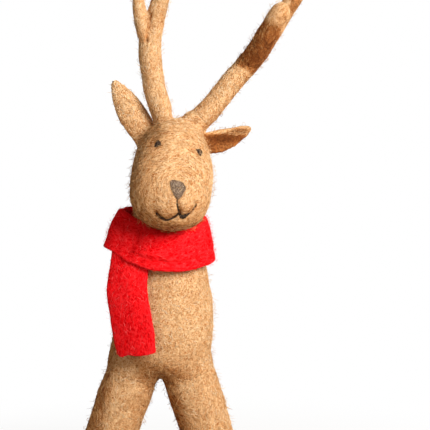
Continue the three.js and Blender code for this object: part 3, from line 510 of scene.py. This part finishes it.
def wool_part(body, nodes, lie, lay):
    """One body's share of the skin as a closed piece, with its loose fibres, in the place of its
    nodes. Each rim is closed by a fan put inside, and no fibres grow under the soles."""
    fan_depth, bare_height = 2 * MM, 1.2 * MM
    chosen = owner == body
    picked = faces[chosen]
    used = np.unique(picked)
    order = np.full(len(places), -1)
    order[used] = np.arange(len(used))
    quads = order[picked]
    points = [tuple(p) for p in places[used]]
    kept = list(used)
    halves = np.concatenate([quads[:, [k, (k + 1) % 4]] for k in range(4)])
    ahead = halves[:, 0] * len(used) + halves[:, 1]
    back = halves[:, 1] * len(used) + halves[:, 0]
    following = {}
    for a, b in halves[~np.isin(ahead, back)]:
        following.setdefault(int(a), []).append(int(b))
    fans = []
    while following:
        start = next(iter(following))
        loop, here = [], start
        while here in following:
            loop.append(here)
            after = following[here].pop()
            if not following[here]:
                del following[here]
            here = after
        middle = places[used][loop].mean(axis=0) - normals[used][loop].mean(axis=0) * fan_depth
        centre = len(points)
        points.append(tuple(middle))
        kept.append(used[loop[0]])
        fans += [(loop[(i + 1) % len(loop)], loop[i], centre) for i in range(len(loop))]
    mesh = bpy.data.meshes.new(body + "_wool")
    mesh.from_pydata(points, [], [tuple(q) for q in quads.tolist()] + fans)
    mesh.polygons.foreach_set("use_smooth", [True] * len(quads) + [False] * len(fans))
    covered = cover[chosen] * (places[picked][:, :, 2].min(axis=1) > bare_height)
    tell_fibres(mesh, grain[kept], lie[kept], sunk[kept], [*covered, *[0.0] * len(fans)])
    mesh.materials.append(camel_felt)
    mesh.update()
    skin = add_object(body + "_wool", mesh)
    loose = fibres_on(skin, body + "_fibres", camel_fibres, lay)
    dress(skin, loose, nodes, body, bends.get(body))


def dress(skin, loose, nodes, body, bend=None):
    """Puts a skin and its fibres in the place of nodes. They ride on a body, or, where a bend is
    given, stay fixed where they are; the bend's bodies and places are not used here."""
    for piece in (skin, loose):
        if bend:
            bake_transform(piece)
        else:
            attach(piece, body)
    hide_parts(*nodes)


leg_nodes = ["leg_front_right", "leg_front_left", "leg_hind_right", "leg_hind_left"]
trunk_group = ["chest", "barrel", "tail", *leg_nodes]
filled = ["chest", "barrel"]
places, faces = felted([trunk_group], filled, cell=0.95 * MM, fillet=2.0 * MM, rounds=12)
# The belly runs into the legs without an edge, and the fork between the front legs is tight.
belly, fork_top, fork_rise = at(0, -22, 98), at(-1.5, -22, 88), 4.2 * MM
spot = (places - np.array(belly)) / MM
share = np.exp(-((spot[:, 0] / 40) ** 4) - (spot[:, 1] / 22) ** 4 - (spot[:, 2] / 13) ** 4)
places = eased(places, faces, share, 50)
normals = normals_of(places, faces)
spot = (places - np.array(fork_top)) / MM
fork = np.exp(-((spot[:, 0] / 4.2) ** 2) - (spot[:, 2] / 7) ** 2) * (np.abs(spot[:, 1]) < 25)
places = places + np.outer(fork * np.clip(-normals[:, 2], 0, 1), [0, 0, fork_rise])
normals = normals_of(places, faces)
places = lumps(places, normals, 0.6 * MM, 9 * MM, 3)
normals = normals_of(places, faces)
centres = places[faces].mean(axis=1)
joints = {j["name"]: j for j in frame["joints"]}
owner = np.full(len(faces), "trunk", dtype="U20")
grain = curled(normals, places, 9 * MM, 5)
bends = {}
# Each leg: how far it splays in degrees, and how far below the hip, in millimetres, the span
# recorded as its bend starts and ends; the leg's wool begins below the first.
for name, splay, first, last in (
    ("leg_front_right", -20, 1.5, 26),
    ("leg_front_left", 17.5, 1.5, 26),
    ("leg_hind_right", -10, 11, 34),
    ("leg_hind_left", 10, 11, 34),
):
    hip = Vector(joints[name + "_bend"]["pos_m"])
    down = Vector((math.sin(math.radians(splay)), 0, -math.cos(math.radians(splay))))
    start, end = hip + down * first * MM, hip + down * last * MM
    bends[name] = ("trunk", name, start, end)

    def on_leg(points):
        below = (points - np.array(start)) @ np.array(down) > 0
        beside = (points[:, 0] - axis_x < -3 * MM) == name.endswith("right")
        return below & beside & (np.abs(points[:, 1] - hip.y) < 24 * MM)

    owner[on_leg(centres)] = name
    mine = on_leg(places)
    swirl = curled(normals, places, 14 * MM, 8) * 0.9
    grain[mine] = grain_along(np.array(down) + swirl, normals)[mine]
tail_start = Vector(joints["tail_bend"]["pos_m"]) + Vector((0, 4.5 * MM, 0))
owner[centres[:, 1] > tail_start.y] = "tail"
bends["tail"] = ("trunk", "tail", tail_start, tail_start + Vector((0, 7 * MM, 0)))

# Painted shade and light: undersides and the sides turned to the animal's right are painted darker,
# the more the lower they are, and the wool above 95 mm is painted a little lighter.
sunk = 0.7 * np.clip(-normals[:, 2] - 0.05, 0, 0.45) - 0.06 * (places[:, 2] > 95 * MM)
low_down = np.clip((100 * MM - places[:, 2]) / (20 * MM), 0, 1)
sunk += (0.15 + 0.2 * low_down) * np.clip((-normals[:, 0] - 0.3) / 0.5, 0, 1)
# The barrel, behind the chest, needs fewer fibres than the front does.
chest_back, barrel_cover = -25 * MM, 0.32
cover = np.where((centres[:, 1] > chest_back) & (owner == "trunk"), barrel_cover, 1.0)
# Each piece: its nodes, and its fibres' number on a square metre, length, curl and spread
for body, nodes, density, length, curl, spread in (
    ("trunk", ["chest", "barrel"], 0.75e6, 2.5, 0.7, 1.6),
    ("tail", ["tail"], 0.4e6, 3.2, 1.0, 0.8),
    *((leg, [leg], 0.4e6 if "hind" in leg else 0.75e6, 3.2, 1.0, 0.8) for leg in leg_nodes),
):
    lay = dict(length=length, width=0.25, lift=0.2, wave=1.3, curl=curl, spread=spread)
    lay |= dict(stray_lift=3.6, stray_share=0.18, density=density, seed=11)
    wool_part(body, nodes, places, lay)

# Head and neck: the head is an egg of wool needled onto the neck; ears and antlers are made
# apart and needled on at the crown, with their fibres drawn down over the skull.
beam_nodes = ["antler_right", "antler_right_tine", "antler_left", "antler_left_tine"]
head_groups = [
    ["neck", "head", *beam_nodes[::2]],
    ["head", "ear_right", "ear_left", *beam_nodes[1::2]],
]
places, faces = felted(head_groups, ["head"], cell=0.65 * MM, fillet=1.2 * MM, rounds=8)
normals = normals_of(places, faces)
places = lumps(places, normals, 0.4 * MM, 7 * MM, 9)

# The muzzle: the mouth's line is jabbed in as a groove, with a lip on each side of it. Places on
# the face are in millimetres across and up from the nose's middle, seen along the camera.
nose_low, nose_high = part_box("nose")
nose_middle = np.array((nose_low + nose_high) / 2)
face_across = np.array((1.0, 0.0, 0.0))
face_up = np.array((0.0, math.sin(view_elevation), math.cos(view_elevation)))
face_in = np.array((0.0, math.cos(view_elevation), -math.sin(view_elevation)))
# Each row: across, up, and half the strand's width
lip_right = [
    (-0.3, -4.9, 0.38), (0.1, -8.6, 0.42), (0.7, -10.3, 0.5), (-0.7, -12.0, 0.45),
    (-2.6, -13.3, 0.4), (-5.1, -14.3, 0.42), (-7.2, -13.5, 0.6), (-9.1, -12.1, 0.7),
    (-10.4, -10.8, 0.35),
]
lip_left = [
    (0.9, -10.6, 0.4), (1.5, -12.2, 1.0), (2.7, -12.5, 1.15), (4.0, -11.8, 0.8), (5.7, -10.8, 0.3),
]
lip_end = [(6.9, -9.7, 0.22), (8.0, -8.1, 0.32), (8.9, -6.3, 0.2)]


def smooth_way(a, b, c, d, t):
    """The way from b to c at its share t, as it comes from a and goes on to d."""
    return b + 0.5 * t * (c - a + t * (2 * a - 5 * b + 4 * c - d + t * (3 * (b - c) + d - a)))


def through(points, steps):
    """A smooth run of places through a few given ones."""
    rows = np.array([points[0], *points, points[-1]])
    shares = np.arange(steps) / steps
    run = [smooth_way(*rows[i - 1 : i + 3], t) for i in range(1, len(rows) - 2) for t in shares]
    return np.array(run + [rows[-1]])


def off_line(points, steps):
    """How far each place on the face is from a line drawn over it, in millimetres."""
    return np.min([np.hypot(across - x, up - z) for x, z, *_ in through(points, steps)], axis=0)


spot = places - nose_middle
across, up = (spot @ face_across) / MM, (spot @ face_up) / MM
facing = (normals @ -face_in > 0.05) & (spot @ face_in < 25 * MM)
push = np.zeros(len(places))
groove_depth, groove_width = 1.1, 1.1
for line in (lip_right, lip_left, lip_end):
    push -= groove_depth * np.exp(-((off_line(line, 6) / groove_width) ** 2))
# The right lip, the left lip and the chin: across, up, half the width and height, and the rise
for x, z, wide, high, rise in (
    (-4.9, -8.6, 5.2, 4.6, 1.3),
    (4.8, -7.6, 4.6, 4.2, 1.1),
    (0.6, -15.9, 5.0, 1.9, 0.7),
):
    push += rise * np.exp(-(((across - x) / wide) ** 2 + ((up - z) / high) ** 2) ** 1.3)
eye_spots = []
eye_sink, eye_reach, muzzle_reach = 0.5, 3.0, 14
for eye in ("eye_right", "eye_left"):
    low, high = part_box(eye)
    middle = np.array((low + high) / 2)
    eye_spots.append(middle)
    away = middle - nose_middle
    apart = np.hypot(across - away @ face_across / MM, up - away @ face_up / MM)
    push -= eye_sink * np.exp(-((apart / eye_reach) ** 2))
push[~facing | (across < -muzzle_reach) | (across > muzzle_reach)] = 0
grooves = np.clip(-push, 0, 1)
# The crease between the right antler's tine and its beam, 1 mm deep
crease = np.exp(-((off_line([(-13.7, 86.0), (-14.4, 80.5), (-15.8, 73.4)], 8) / 0.9) ** 2))
crease *= np.clip(normals @ -face_in * 2, 0, 1)
push -= crease


def swell(x, z, wide, high, by, way):
    """Moves the skin along its normals round a place, where it faces a given way."""
    near = np.exp(-(((across - x) / wide) ** 2) - ((up - z) / high) ** 2)
    return by * near * np.clip(normals @ np.array(way) * 1.5, 0, 1)


push += swell(-1.0, 37.0, 3.6, 4.0, -1.7, (0.8, 0, 0.2))  # the right antler's root, inside
push += swell(-12.0, 34.6, 2.2, 4.2, -0.4, (-1, 0, 0))  # and outside, beside the ear
push += swell(4.0, 37.2, 3.4, 3.0, 1.3, (-0.4, 0, 0.9))  # the left antler's root, inside
push += swell(24.0, 23.5, 9.0, 2.6, -1.0, (0, -1, 0))  # the left ear's hollow
push += swell(24.0, 28.6, 12.0, 1.4, 0.5, (0, -1, 0))  # and its rim
places = places + normals * (push * MM)[:, None]
normals = normals_of(places, faces)
centres = places[faces].mean(axis=1)

# The fibres go round the nose, down the neck, up the antlers and along the ears.
grain = unit(np.cross(normals, places - nose_middle))
grain = grain_along(grain + 0.5 * curled(normals, places, 6 * MM, 2), normals)
neck_plane = at(0, 0, 180)
neck_rise = Vector((0, -0.545, 0.839))
owner = np.full(len(faces), "head", dtype="U20")
owner[(centres - np.array(neck_plane)) @ np.array(neck_rise) < 0] = "neck"
neck_start, neck_end = neck_plane - neck_rise * 9 * MM, neck_plane + neck_rise * 0.5 * MM
bends = {"neck": ("neck", "head", neck_start, neck_end)}
near_names = ["head", "ear_right", "ear_left", *beam_nodes]


def nearest_solids(points, names):
    """The index of the solid that each point is nearest to."""
    reach = []
    for name in names:
        mesh = frame["nodes"][name].data
        corners = [v.co for v in mesh.vertices]
        tree = BVHTree.FromPolygons(corners, [p.vertices[:] for p in mesh.polygons])
        reach.append([tree.find_nearest(Vector(p))[3] for p in points])
    return np.argmin(reach, axis=0)


# Each part: which way it goes out from its joint, and how far out, in millimetres, the span
# recorded as its bend starts and ends; the part's wool begins beyond the first. The ears' fibres
# run that way too, and the antlers' run upwards.
box_margin = 2.5 * MM
for name, out, first, last in (
    ("antler_right", (-0.33, 0, 0.94), 6, 14),
    ("antler_left", (0.74, 0, 0.67), 6, 14),
    ("ear_right", (-0.5, 0, 0.86), 5, 12),
    ("ear_left", (0.73, 0.64, 0.17), 4, 11),
):
    root = Vector(joints[name + "_bend"]["pos_m"])
    out = Vector(out).normalized()
    bends[name] = ("head", name, root + out * first * MM, root + out * last * MM)
    boxes = [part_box(n) for n in (name, name + "_tine") if n in frame["nodes"]]
    low = [min(b[0][k] for b in boxes) - box_margin for k in range(3)]
    high = [max(b[1][k] for b in boxes) + box_margin for k in range(3)]

    def beyond(points, distance):
        kept = (points - np.array(root + out * distance * MM)) @ np.array(out) > 0
        for k in range(3):
            kept &= (points[:, k] > low[k]) & (points[:, k] < high[k])
        return kept

    claimed = np.flatnonzero(beyond(centres, first))
    own = [i for i, near in enumerate(near_names) if near.startswith(name)]
    owner[claimed[np.isin(nearest_solids(centres[claimed], near_names), own)]] = name
    mine = beyond(places, first - 4)
    if name == "ear_left":
        left_ear = sum(beyond(places, near) for near in (-3, -2, -1, 0)) / 4
    run = np.array(out) if name.startswith("ear") else np.array((0.0, 0.0, 1.0))
    grain[mine] = grain_along(run + curled(normals, places, 6 * MM, 4) * 0.6, normals)[mine]

# On the skull the felt's pattern is drawn out into arcs round the nose. Fibres turned down, in the
# hollow of the left ear, in the mouth's groove, round the eyes and in the antler's crease get
# painted shade and look darker.
spot = places - nose_middle
across, up = spot @ face_across, spot @ face_up
turn = np.arctan2(across, up)
round_nose = np.column_stack((np.hypot(across, up), turn * 5 * MM, spot @ face_in))
sunk = 0.4 * grooves + 0.4 * crease + 0.5 * np.clip(-normals[:, 2] - 0.1, 0, 1)
left_hollow = left_ear * np.clip((0.1 - normals @ face_in) / 0.4, 0, 1)
sunk += 0.72 * left_hollow * np.clip((28.8 * MM - up) / (1.4 * MM), 0, 1)
# The left antler's tine points at the eye, so its underside gets painted shade from its root to its
# tip.
down_tine = np.array(((0.492, -0.871), (0.871, 0.492)))
tine = np.column_stack((across / MM - 34, up / MM - 60)) @ down_tine
on_tine = (tine[:, 1] < 6.5) & (tine[:, 1] > -5.6) & (normals @ -face_in > -0.1)
# Painted light and shade: the head more than 34 mm above the nose is painted lighter, and below 36
# mm its sides turned to the animal's right are painted darker.
sunk -= 0.08 * (up > 34 * MM)
sunk += 0.13 * (up < 36 * MM) * np.clip((-normals[:, 0] - 0.1) / 0.4, 0, 1)
# Painted shade on the tine's underside
sunk += 0.6 * on_tine * np.clip(tine[:, 0] / 1.2 + 1.5, 0, 1) * np.clip((24 - tine[:, 0]) / 3, 0, 1)
# The beam beyond the tip lies in the tine's shade.
far_beam = np.clip((tine[:, 0] - 26) / 3, 0, 1) * np.clip((0.8 - normals[:, 0]) / 0.4, 0, 1)
sunk += 0.45 * (tine[:, 1] < -2.4) * far_beam * (normals @ -face_in > 0)
cover = np.ones(len(faces))
lay = dict(length=2.5, width=0.23, lift=0.18, wave=1.0, curl=0.5, spread=0.6)
lay |= dict(stray_lift=3.2, stray_share=0.15, density=1.25e6, seed=23)
for body, nodes in {
    "head": ["head"],
    "neck": ["neck"],
    "ear_right": ["ear_right"],
    "ear_left": ["ear_left"],
    "antler_right": beam_nodes[:2],
    "antler_left": beam_nodes[2:],
}.items():
    lie = places if body != "head" else round_nose
    wool_part(body, nodes, lie, {**lay, "density": 0.3e6} if body == "neck" else lay)

# Nose and eyes: flat pads of dark wool, needled down hard until they are smooth and firm, so
# that the rim sinks into the face and darkens, and the middle stands a little proud.
face_tree = BVHTree.FromPolygons([Vector(p) for p in places], faces.tolist())
well_before = 60 * MM


def on_face(across, up, middle):
    """The point and the normal of the face behind a place given from a middle, in millimetres."""
    start = middle + (across * face_across + up * face_up) * MM - face_in * well_before
    point, normal, _, _ = face_tree.ray_cast(Vector(start), Vector(face_in))
    return np.array(point), np.array(normal)


# Hard-felted wool shows its single fibres as fine specks, drawn 0.7 mm apart so that they show.
dark_felt, add = new_material("hard_felted_dark_wool")
place = add("ShaderNodeTexCoord").outputs["Object"]
speck = {"Vector": place, "Scale": 1500.0, "Detail": 4.0, "Roughness": 0.75}
speck = add("ShaderNodeTexNoise", speck)
rim = add("ShaderNodeAttribute", attribute_name="rim").outputs["Fac"]
shade = add("ShaderNodeMath", (speck, 2.4, -0.72), operation="MULTIPLY_ADD")
shade = add("ShaderNodeMath", (shade, rim), operation="SUBTRACT")
bump = add("ShaderNodeBump", {"Height": speck, "Distance": 0.25 * MM, "Strength": 0.7})
look = {"Normal": bump, "Roughness": 0.6, "Specular IOR Level": 0.2}
dark_colours = [(0.0, "#1C120D"), (0.25, "#5A4638"), (0.5, "#967E69"), (0.95, "#CDBAA4")]
finish_material(add, shade, dark_colours, look)
dark_colours = [(0.0, "#150D09"), (0.6, "#2C1E16"), (0.9, "#54402F"), (1.0, "#A58D72")]
dark_fibres = fibre_material("loose_dark_wool_fibres", dark_colours)
nose_colours = [(0.0, "#38281E"), (0.35, "#7D6552"), (0.8, "#AD967E"), (1.0, "#D8C6B0")]
nose_fibres = fibre_material("loose_grey_brown_wool_fibres", nose_colours)
dark_lay = dict(length=1.5, width=0.16, lift=0.12, wave=0.6, curl=0.5, spread=1.6)
dark_lay |= dict(stray_lift=0.6, stray_share=0.15)


def closed_mesh(name, points, polygons):
    """A smooth closed mesh with its faces turned outwards."""
    mesh = bpy.data.meshes.new(name)
    mesh.from_pydata([tuple(p) for p in points], [], polygons)
    mesh.polygons.foreach_set("use_smooth", [True] * len(polygons))
    work = bmesh.new()
    work.from_mesh(mesh)
    bmesh.ops.recalc_face_normals(work, faces=work.faces)
    work.to_mesh(mesh)
    work.free()
    return mesh


def dark_piece(node, kind, points, polygons, rims, fibres, density, seed):
    """A pad or a strand of dark wool with its loose fibres, in the place of a node of the head."""
    mesh = closed_mesh(node, points, polygons)
    mesh.attributes.new("rim", "FLOAT", "POINT").data.foreach_set("value", rims)
    mesh.materials.append(dark_felt)
    grain, sunk, cover = [face_across] * len(points), [0.0] * len(points), [1.0] * len(polygons)
    tell_fibres(mesh, grain, points, sunk, cover)
    piece = add_object(f"{node}_{kind}", mesh)
    lay = {**dark_lay, "density": density, "seed": seed}
    loose = fibres_on(piece, node + "_fibres", fibres, lay)
    dress(piece, loose, [node], "head")


nose_outline = [
    (-4.0, 4.3), (-3.0, 4.9), (-0.1, 4.8), (2.6, 3.6), (4.0, 1.4), (3.6, -0.6), (1.8, -3.5),
    (-0.1, -4.9), (-1.5, -3.2), (-2.5, -1.3), (-3.7, 1.8),
]
eye_right_outline = [
    (-1.9, -1.8), (-1.2, 0.1), (-0.2, 1.6), (0.8, 1.6), (1.8, 0.0), (1.1, -1.4), (-0.4, -1.8),
]
eye_left_outline = [
    (-1.7, 1.4), (-0.4, 1.8), (0.8, 1.5), (1.6, 0.0), (1.0, -1.8), (0.0, -1.2), (-0.9, 0.1),
]
RINGS = 8
pad_depth = 1.2
# Each pad: its middle, its outline, how far its middle stands proud, and how dark its rim is
for name, middle, outline, rise, darkest in (
    ("nose", nose_middle, nose_outline, 0.75, 0.24),
    ("eye_right", eye_spots[0], eye_right_outline, 0.5, 0.9),
    ("eye_left", eye_spots[1], eye_left_outline, 0.5, 0.9),
):
    around = through([*outline, outline[0]], 5)[:-1]
    points, rims = [], []
    for side in (1, -1):
        point, normal = on_face(0, 0, middle)
        points.append(point + normal * (rise if side > 0 else -pad_depth) * MM)
        rims.append(darkest * 0.3)
        for ring in range(1, RINGS + 1):
            share = ring / RINGS
            for x, z in around * share:
                point, normal = on_face(x, z, middle)
                lift = rise * (1 - share**4) - 0.1 if side > 0 else -pad_depth
                points.append(point + normal * lift * MM)
                rims.append(darkest * (0.3 + 0.7 * share**5))
    count = len(around)
    half = 1 + RINGS * count
    polygons = []
    for base, flip in ((0, False), (half, True)):
        for i in range(count):
            j = (i + 1) % count
            fan = [(base, base + 1 + i, base + 1 + j)]
            for ring in range(RINGS - 1):
                a = base + 1 + ring * count
                fan.append((a + i, a + count + i, a + count + j, a + j))
            polygons += [f[::-1] if flip else f for f in fan]
    for i in range(count):
        j = (i + 1) % count
        top, low = 1 + (RINGS - 1) * count, half + 1 + (RINGS - 1) * count
        polygons.append((top + i, low + i, low + j, top + j))
    colours = nose_fibres if name == "nose" else dark_fibres
    dark_piece(name, "pad", points, polygons, rims, colours, 4e6, 41)

# Mouth: two twisted strands of dark wool laid in the groove and needled down, one from the nose
# round the right lip, the other a short smudge under the left lip with a stroke at its end.
sides, strand_shade = 8, 0.38
for name, lines in (("mouth_right", [lip_right]), ("mouth_left", [lip_left, lip_end])):
    points, polygons = [], []
    for line in lines:
        run = through(line, 5)
        first = len(points)
        for i, (x, z, wide) in enumerate(run):
            point, normal = on_face(x, z, nose_middle)
            before, after = run[max(i - 1, 0)], run[min(i + 1, len(run) - 1)]
            ahead = (after[0] - before[0]) * face_across + (after[1] - before[1]) * face_up
            beside = np.cross(normal, ahead)
            beside /= np.linalg.norm(beside)
            blunt = 0.45 if i in (0, len(run) - 1) else 1.0
            for k in range(sides):
                turn = 2 * math.pi * k / sides
                reach = wide * blunt * (1 + 0.18 * math.sin(i * 1.9 + k))
                off = beside * math.cos(turn) * reach
                off = off + normal * (math.sin(turn) * reach * 0.7 + 0.12)
                points.append(point + off * MM)
        for i in range(len(run) - 1):
            for k in range(sides):
                a, b = first + i * sides + k, first + i * sides + (k + 1) % sides
                polygons.append((a, b, b + sides, a + sides))
        polygons.append(tuple(first + k for k in range(sides))[::-1])
        polygons.append(tuple(first + (len(run) - 1) * sides + k for k in range(sides)))
    rims = [strand_shade] * len(points)
    dark_piece(name, "strand", points, polygons, rims, dark_fibres, 5e6, 43)

# Scarf: a strip of pressed red craft felt, 20 mm wide and 1.8 mm thick, wound round the neck with
# its lower edge standing out. It creases at the left, and a soft ridge runs along its front.
red_felt = felt_skin("pressed_red_craft_felt", "#DE000A", "#F6000C", "#FF3238", 0.35, 0.08)
red_colours = [(0.0, "#D80008"), (0.3, "#F2030B"), (0.7, "#FC1A20")]
red_colours += [(0.9, "#FF4048"), (1.0, "#FF8484")]
red_fibres = fibre_material("loose_red_felt_fibres", red_colours)
scarf_width, scarf_thick = 20.0, 1.8
# Places round the neck, in degrees from its left side by way of the back: the height of the lower
# edge, and the reach of the lower and the upper edge from the neck's axis, in millimetres
WRAP = [
    (0, 152.4, 24.2, 21.6),
    (45, 152.0, 24.4, 19.8),
    (90, 152.4, 24.2, 18.8),
    (135, 154.8, 26.2, 19.6),
    (172, 158.0, 27.6, 19.8),
    (190, 157.4, 28.8, 22.0),
    (204, 158.4, 32.4, 24.2),
    (218, 155.4, 29.6, 21.6),
    (250, 150.0, 27.6, 20.6),
    (285, 148.0, 26.6, 21.0),
    (320, 149.0, 25.8, 21.6),
    (343, 150.4, 26.5, 21.9),
]


def round_the_neck(angle, column):
    """A value round the neck, eased between the nearest places of the table."""
    turn = angle % 360
    i = max(k for k, row in enumerate(WRAP) if row[0] <= turn)
    after = WRAP[(i + 1) % len(WRAP)][0] or 360
    t = (turn - WRAP[i][0]) / (after - WRAP[i][0])
    return smooth_way(*(WRAP[(i + k) % len(WRAP)][column] for k in (-1, 0, 1, 2)), t)


def bell(value, middle, width):
    return math.exp(-(((value - middle) / width) ** 2))


def wrap_point(angle, level, depth):
    """A point of the wrap: its level runs up the strip, and its depth goes in through the felt."""
    low, wide, narrow = (round_the_neck(angle, k) for k in (1, 2, 3))
    rise = math.sqrt(max(scarf_width**2 - (wide - narrow) ** 2, 0))
    front = bell(angle, 292, 52)
    reach = wide + (narrow - wide) * level + (0.5 + 0.6 * front) * math.sin(math.pi * level)
    # The ridge along the front and the line under it, the crease, and the upper edge drawn in
    reach += front * (1.2 * bell(level, 0.36, 0.07) - 1.1 * bell(level, 0.23, 0.06))
    reach -= 2.8 * bell(angle - 9 * level, 228, 8.0) * level**0.4
    reach -= (1.2 - 0.8 * bell(angle, 198, 16)) * bell(level, 1.04, 0.14)
    turn_x, turn_y = math.cos(math.radians(angle)), math.sin(math.radians(angle))
    place = Vector((turn_x * 3, turn_y * 3, level * 2.4))
    reach += 0.55 * noise.noise(place) + 0.22 * noise.noise(place * 3.1)
    height = low + rise * level + 0.5 * noise.noise(place + Vector((7, 0, 0)))
    return at((reach - depth) * turn_x, (reach - depth) * turn_y, height)


def felt_strip(name, outer, inner, closed, material, grain, stretch):
    """A closed strip of felt from rows of points on its two faces, with rounded edges. The felt's
    pattern reads the place along and across the strip, drawn out as the fibres run."""
    rows, width = len(outer), len(outer[0])
    points = [p for a, b in zip(outer, inner) for p in [*a, *b[::-1]]]
    size = width * 2
    last = rows if closed else rows - 1
    polygons = []
    for i in range(last):
        for k in range(size):
            a, b = i * size + k, i * size + (k + 1) % size
            c, d = ((i + 1) % rows) * size + (k + 1) % size, ((i + 1) % rows) * size + k
            polygons.append((a, d, c, b))
    if not closed:
        for i, flip in ((0, False), (rows - 1, True)):
            for k in range(width - 1):
                a, d = i * size + k, i * size + size - 1 - k
                face = (a, a + 1, d - 1, d)
                polygons.append(face[::-1] if flip else face)
    mesh = closed_mesh(name, points, polygons)
    run = [0.0]
    for before, after in zip(outer, outer[1:]):
        run.append(run[-1] + (after[width // 2] - before[width // 2]).length)
    strip = []
    for i in range(rows):
        for k in range(size):
            over = (k if k < width else size - 1 - k) * scarf_width * MM / width
            strip.append((run[i] * stretch[0], over * stretch[1], 0.05 * (k >= width)))
    tell_fibres(mesh, [grain] * len(points), strip, [0.0] * len(points), [1.0] * len(polygons))
    mesh.materials.append(material)
    mesh.update()
    return add_object(name, mesh)


TURNS, LEVELS = 220, 26
levels = [0.5 - 0.5 * math.cos(math.pi * k / LEVELS) for k in range(LEVELS + 1)]
outer, inner = [], []
edge_round, edge_share = 0.5, 0.03
edges = [edge_round * max(1 - min(level, 1 - level) / edge_share, 0) for level in levels]
for i in range(TURNS):
    angle = 360 * i / TURNS
    outer.append([wrap_point(angle, level, depth) for level, depth in zip(levels, edges)])
    inner.append([wrap_point(angle, level, scarf_thick) for level in levels])
wrap = felt_strip("scarf_wrap_felt", outer, inner, True, red_felt, (0.3, 0.3, 0.1), (0.3, 0.9))

# The end of the strip: it comes out from under the wrap and hangs down the chest, in one soft fold
# down its length, with its right-hand side turned to the light.
hinge = Vector(joints["scarf_end_swing"]["pos_m"])
end_length = 42.0
facing_turn = math.radians(15)
end_across = Vector((math.cos(facing_turn), -math.sin(facing_turn), 0))
end_out = Vector((-math.sin(facing_turn), -math.cos(facing_turn), 0))
# Down the strip in millimetres from the hinge: drift across, reach outward and the share of the
# width that faces forward
HANG = [
    (-14, 0.4, -5.0, 1.0),
    (-9.5, 0.2, -3.3, 1.0),
    (-5, 0, -1.9, 1.0),
    (-1, -0.1, -0.5, 1.0),
    (5, -0.5, 0.6, 1.03),
    (12.6, -0.1, 1.8, 1.06),
    (21, 1.3, 2.4, 1.07),
    (29.4, 2.8, 2.4, 1.07),
    (36, 3.7, 2.0, 1.04),
    (42, 4.2, 1.6, 1.0),
]
hang = through(HANG, 8)
outer, inner = [], []
STRIPS = 24
for down, drift, out, share in hang:
    free = min(max(down / 10, 0), 1)
    sides = ([], [])
    for k in range(STRIPS + 1):
        x = -math.cos(math.pi * k / STRIPS)
        corner = abs(x) ** 6 * 0.8 + 0.9 * bell(x, -0.35, 0.25) + 1.6 * bell(x, -1.0, 0.12)
        corner *= bell(down, end_length, 3.0)
        tilt = math.sin(math.radians(9) * max(down, 0) / end_length) * x * scarf_width / 2
        wave = free * (1.5 * (1 - abs(x - 0.15) ** 1.6) - 0.6) - (1 - free) * 1.9 * x * x
        wave += 0.35 * free * noise.noise(Vector((x * 1.4, down / 9, 3)))
        edge = scarf_width / 2 * share + 0.35 * noise.noise(Vector((x * 0.5, down / 7, 9)))
        base = hinge + end_across * (drift + x * edge) * MM
        base = base + Vector((0, 0, -down + tilt + corner)) * MM
        round_off = 0.4 * scarf_thick * (1 - math.sqrt(max(1 - abs(x) ** 14, 0)))
        sides[0].append(base + end_out * (out + wave + scarf_thick / 2 - round_off) * MM)
        sides[1].append(base + end_out * (out + wave - scarf_thick / 2 + round_off) * MM)
    outer.append(sides[0])
    inner.append(sides[1])
end = felt_strip("scarf_end_felt", outer, inner, False, red_felt, (0, 0, 1), (0.35, 0.9))

lay = dict(length=2.6, width=0.14, lift=0.1, wave=0.8, curl=0.4, spread=1.0)
lay |= dict(stray_lift=2.6, stray_share=0.45, density=1.1e6, seed=31)
bend_start, bend_end = hinge + Vector((0, 0, 1 * MM)), hinge - Vector((0, 0, 7 * MM))
for skin, node, bend in (
    (wrap, "scarf_wrap", None),
    (end, "scarf_end", ("neck", "scarf_end", bend_start, bend_end)),
):
    loose = fibres_on(skin, node + "_fibres", red_fibres, lay)
    dress(skin, loose, [node], "neck", bend)

# Armature: soft steel wire, drawn and bare, inside the wool of the trunk, the neck, each leg and
# each antler. The wool hides it; it carries the same finish as it has on the reel.
wire_steel, add = new_material("bare_drawn_steel_wire")
place = add("ShaderNodeTexCoord").outputs["Object"]
# Drawing leaves faint streaks, drawn here 1 mm apart so that they show.
streak = add("ShaderNodeTexNoise", {"Vector": place, "Scale": 900.0, "Detail": 3.0})
bump = add("ShaderNodeBump", {"Height": streak, "Distance": 0.02 * MM, "Strength": 0.4})
look = {"Normal": bump, "Metallic": 1.0, "Roughness": 0.35}
finish_material(add, streak, ((0.35, "#8C8A86"), (0.7, "#B4B2AE")), look)
for name, wire in frame["nodes"].items():
    if name.endswith("wire"):
        for slot in wire.material_slots:
            slot.material = wire_steel
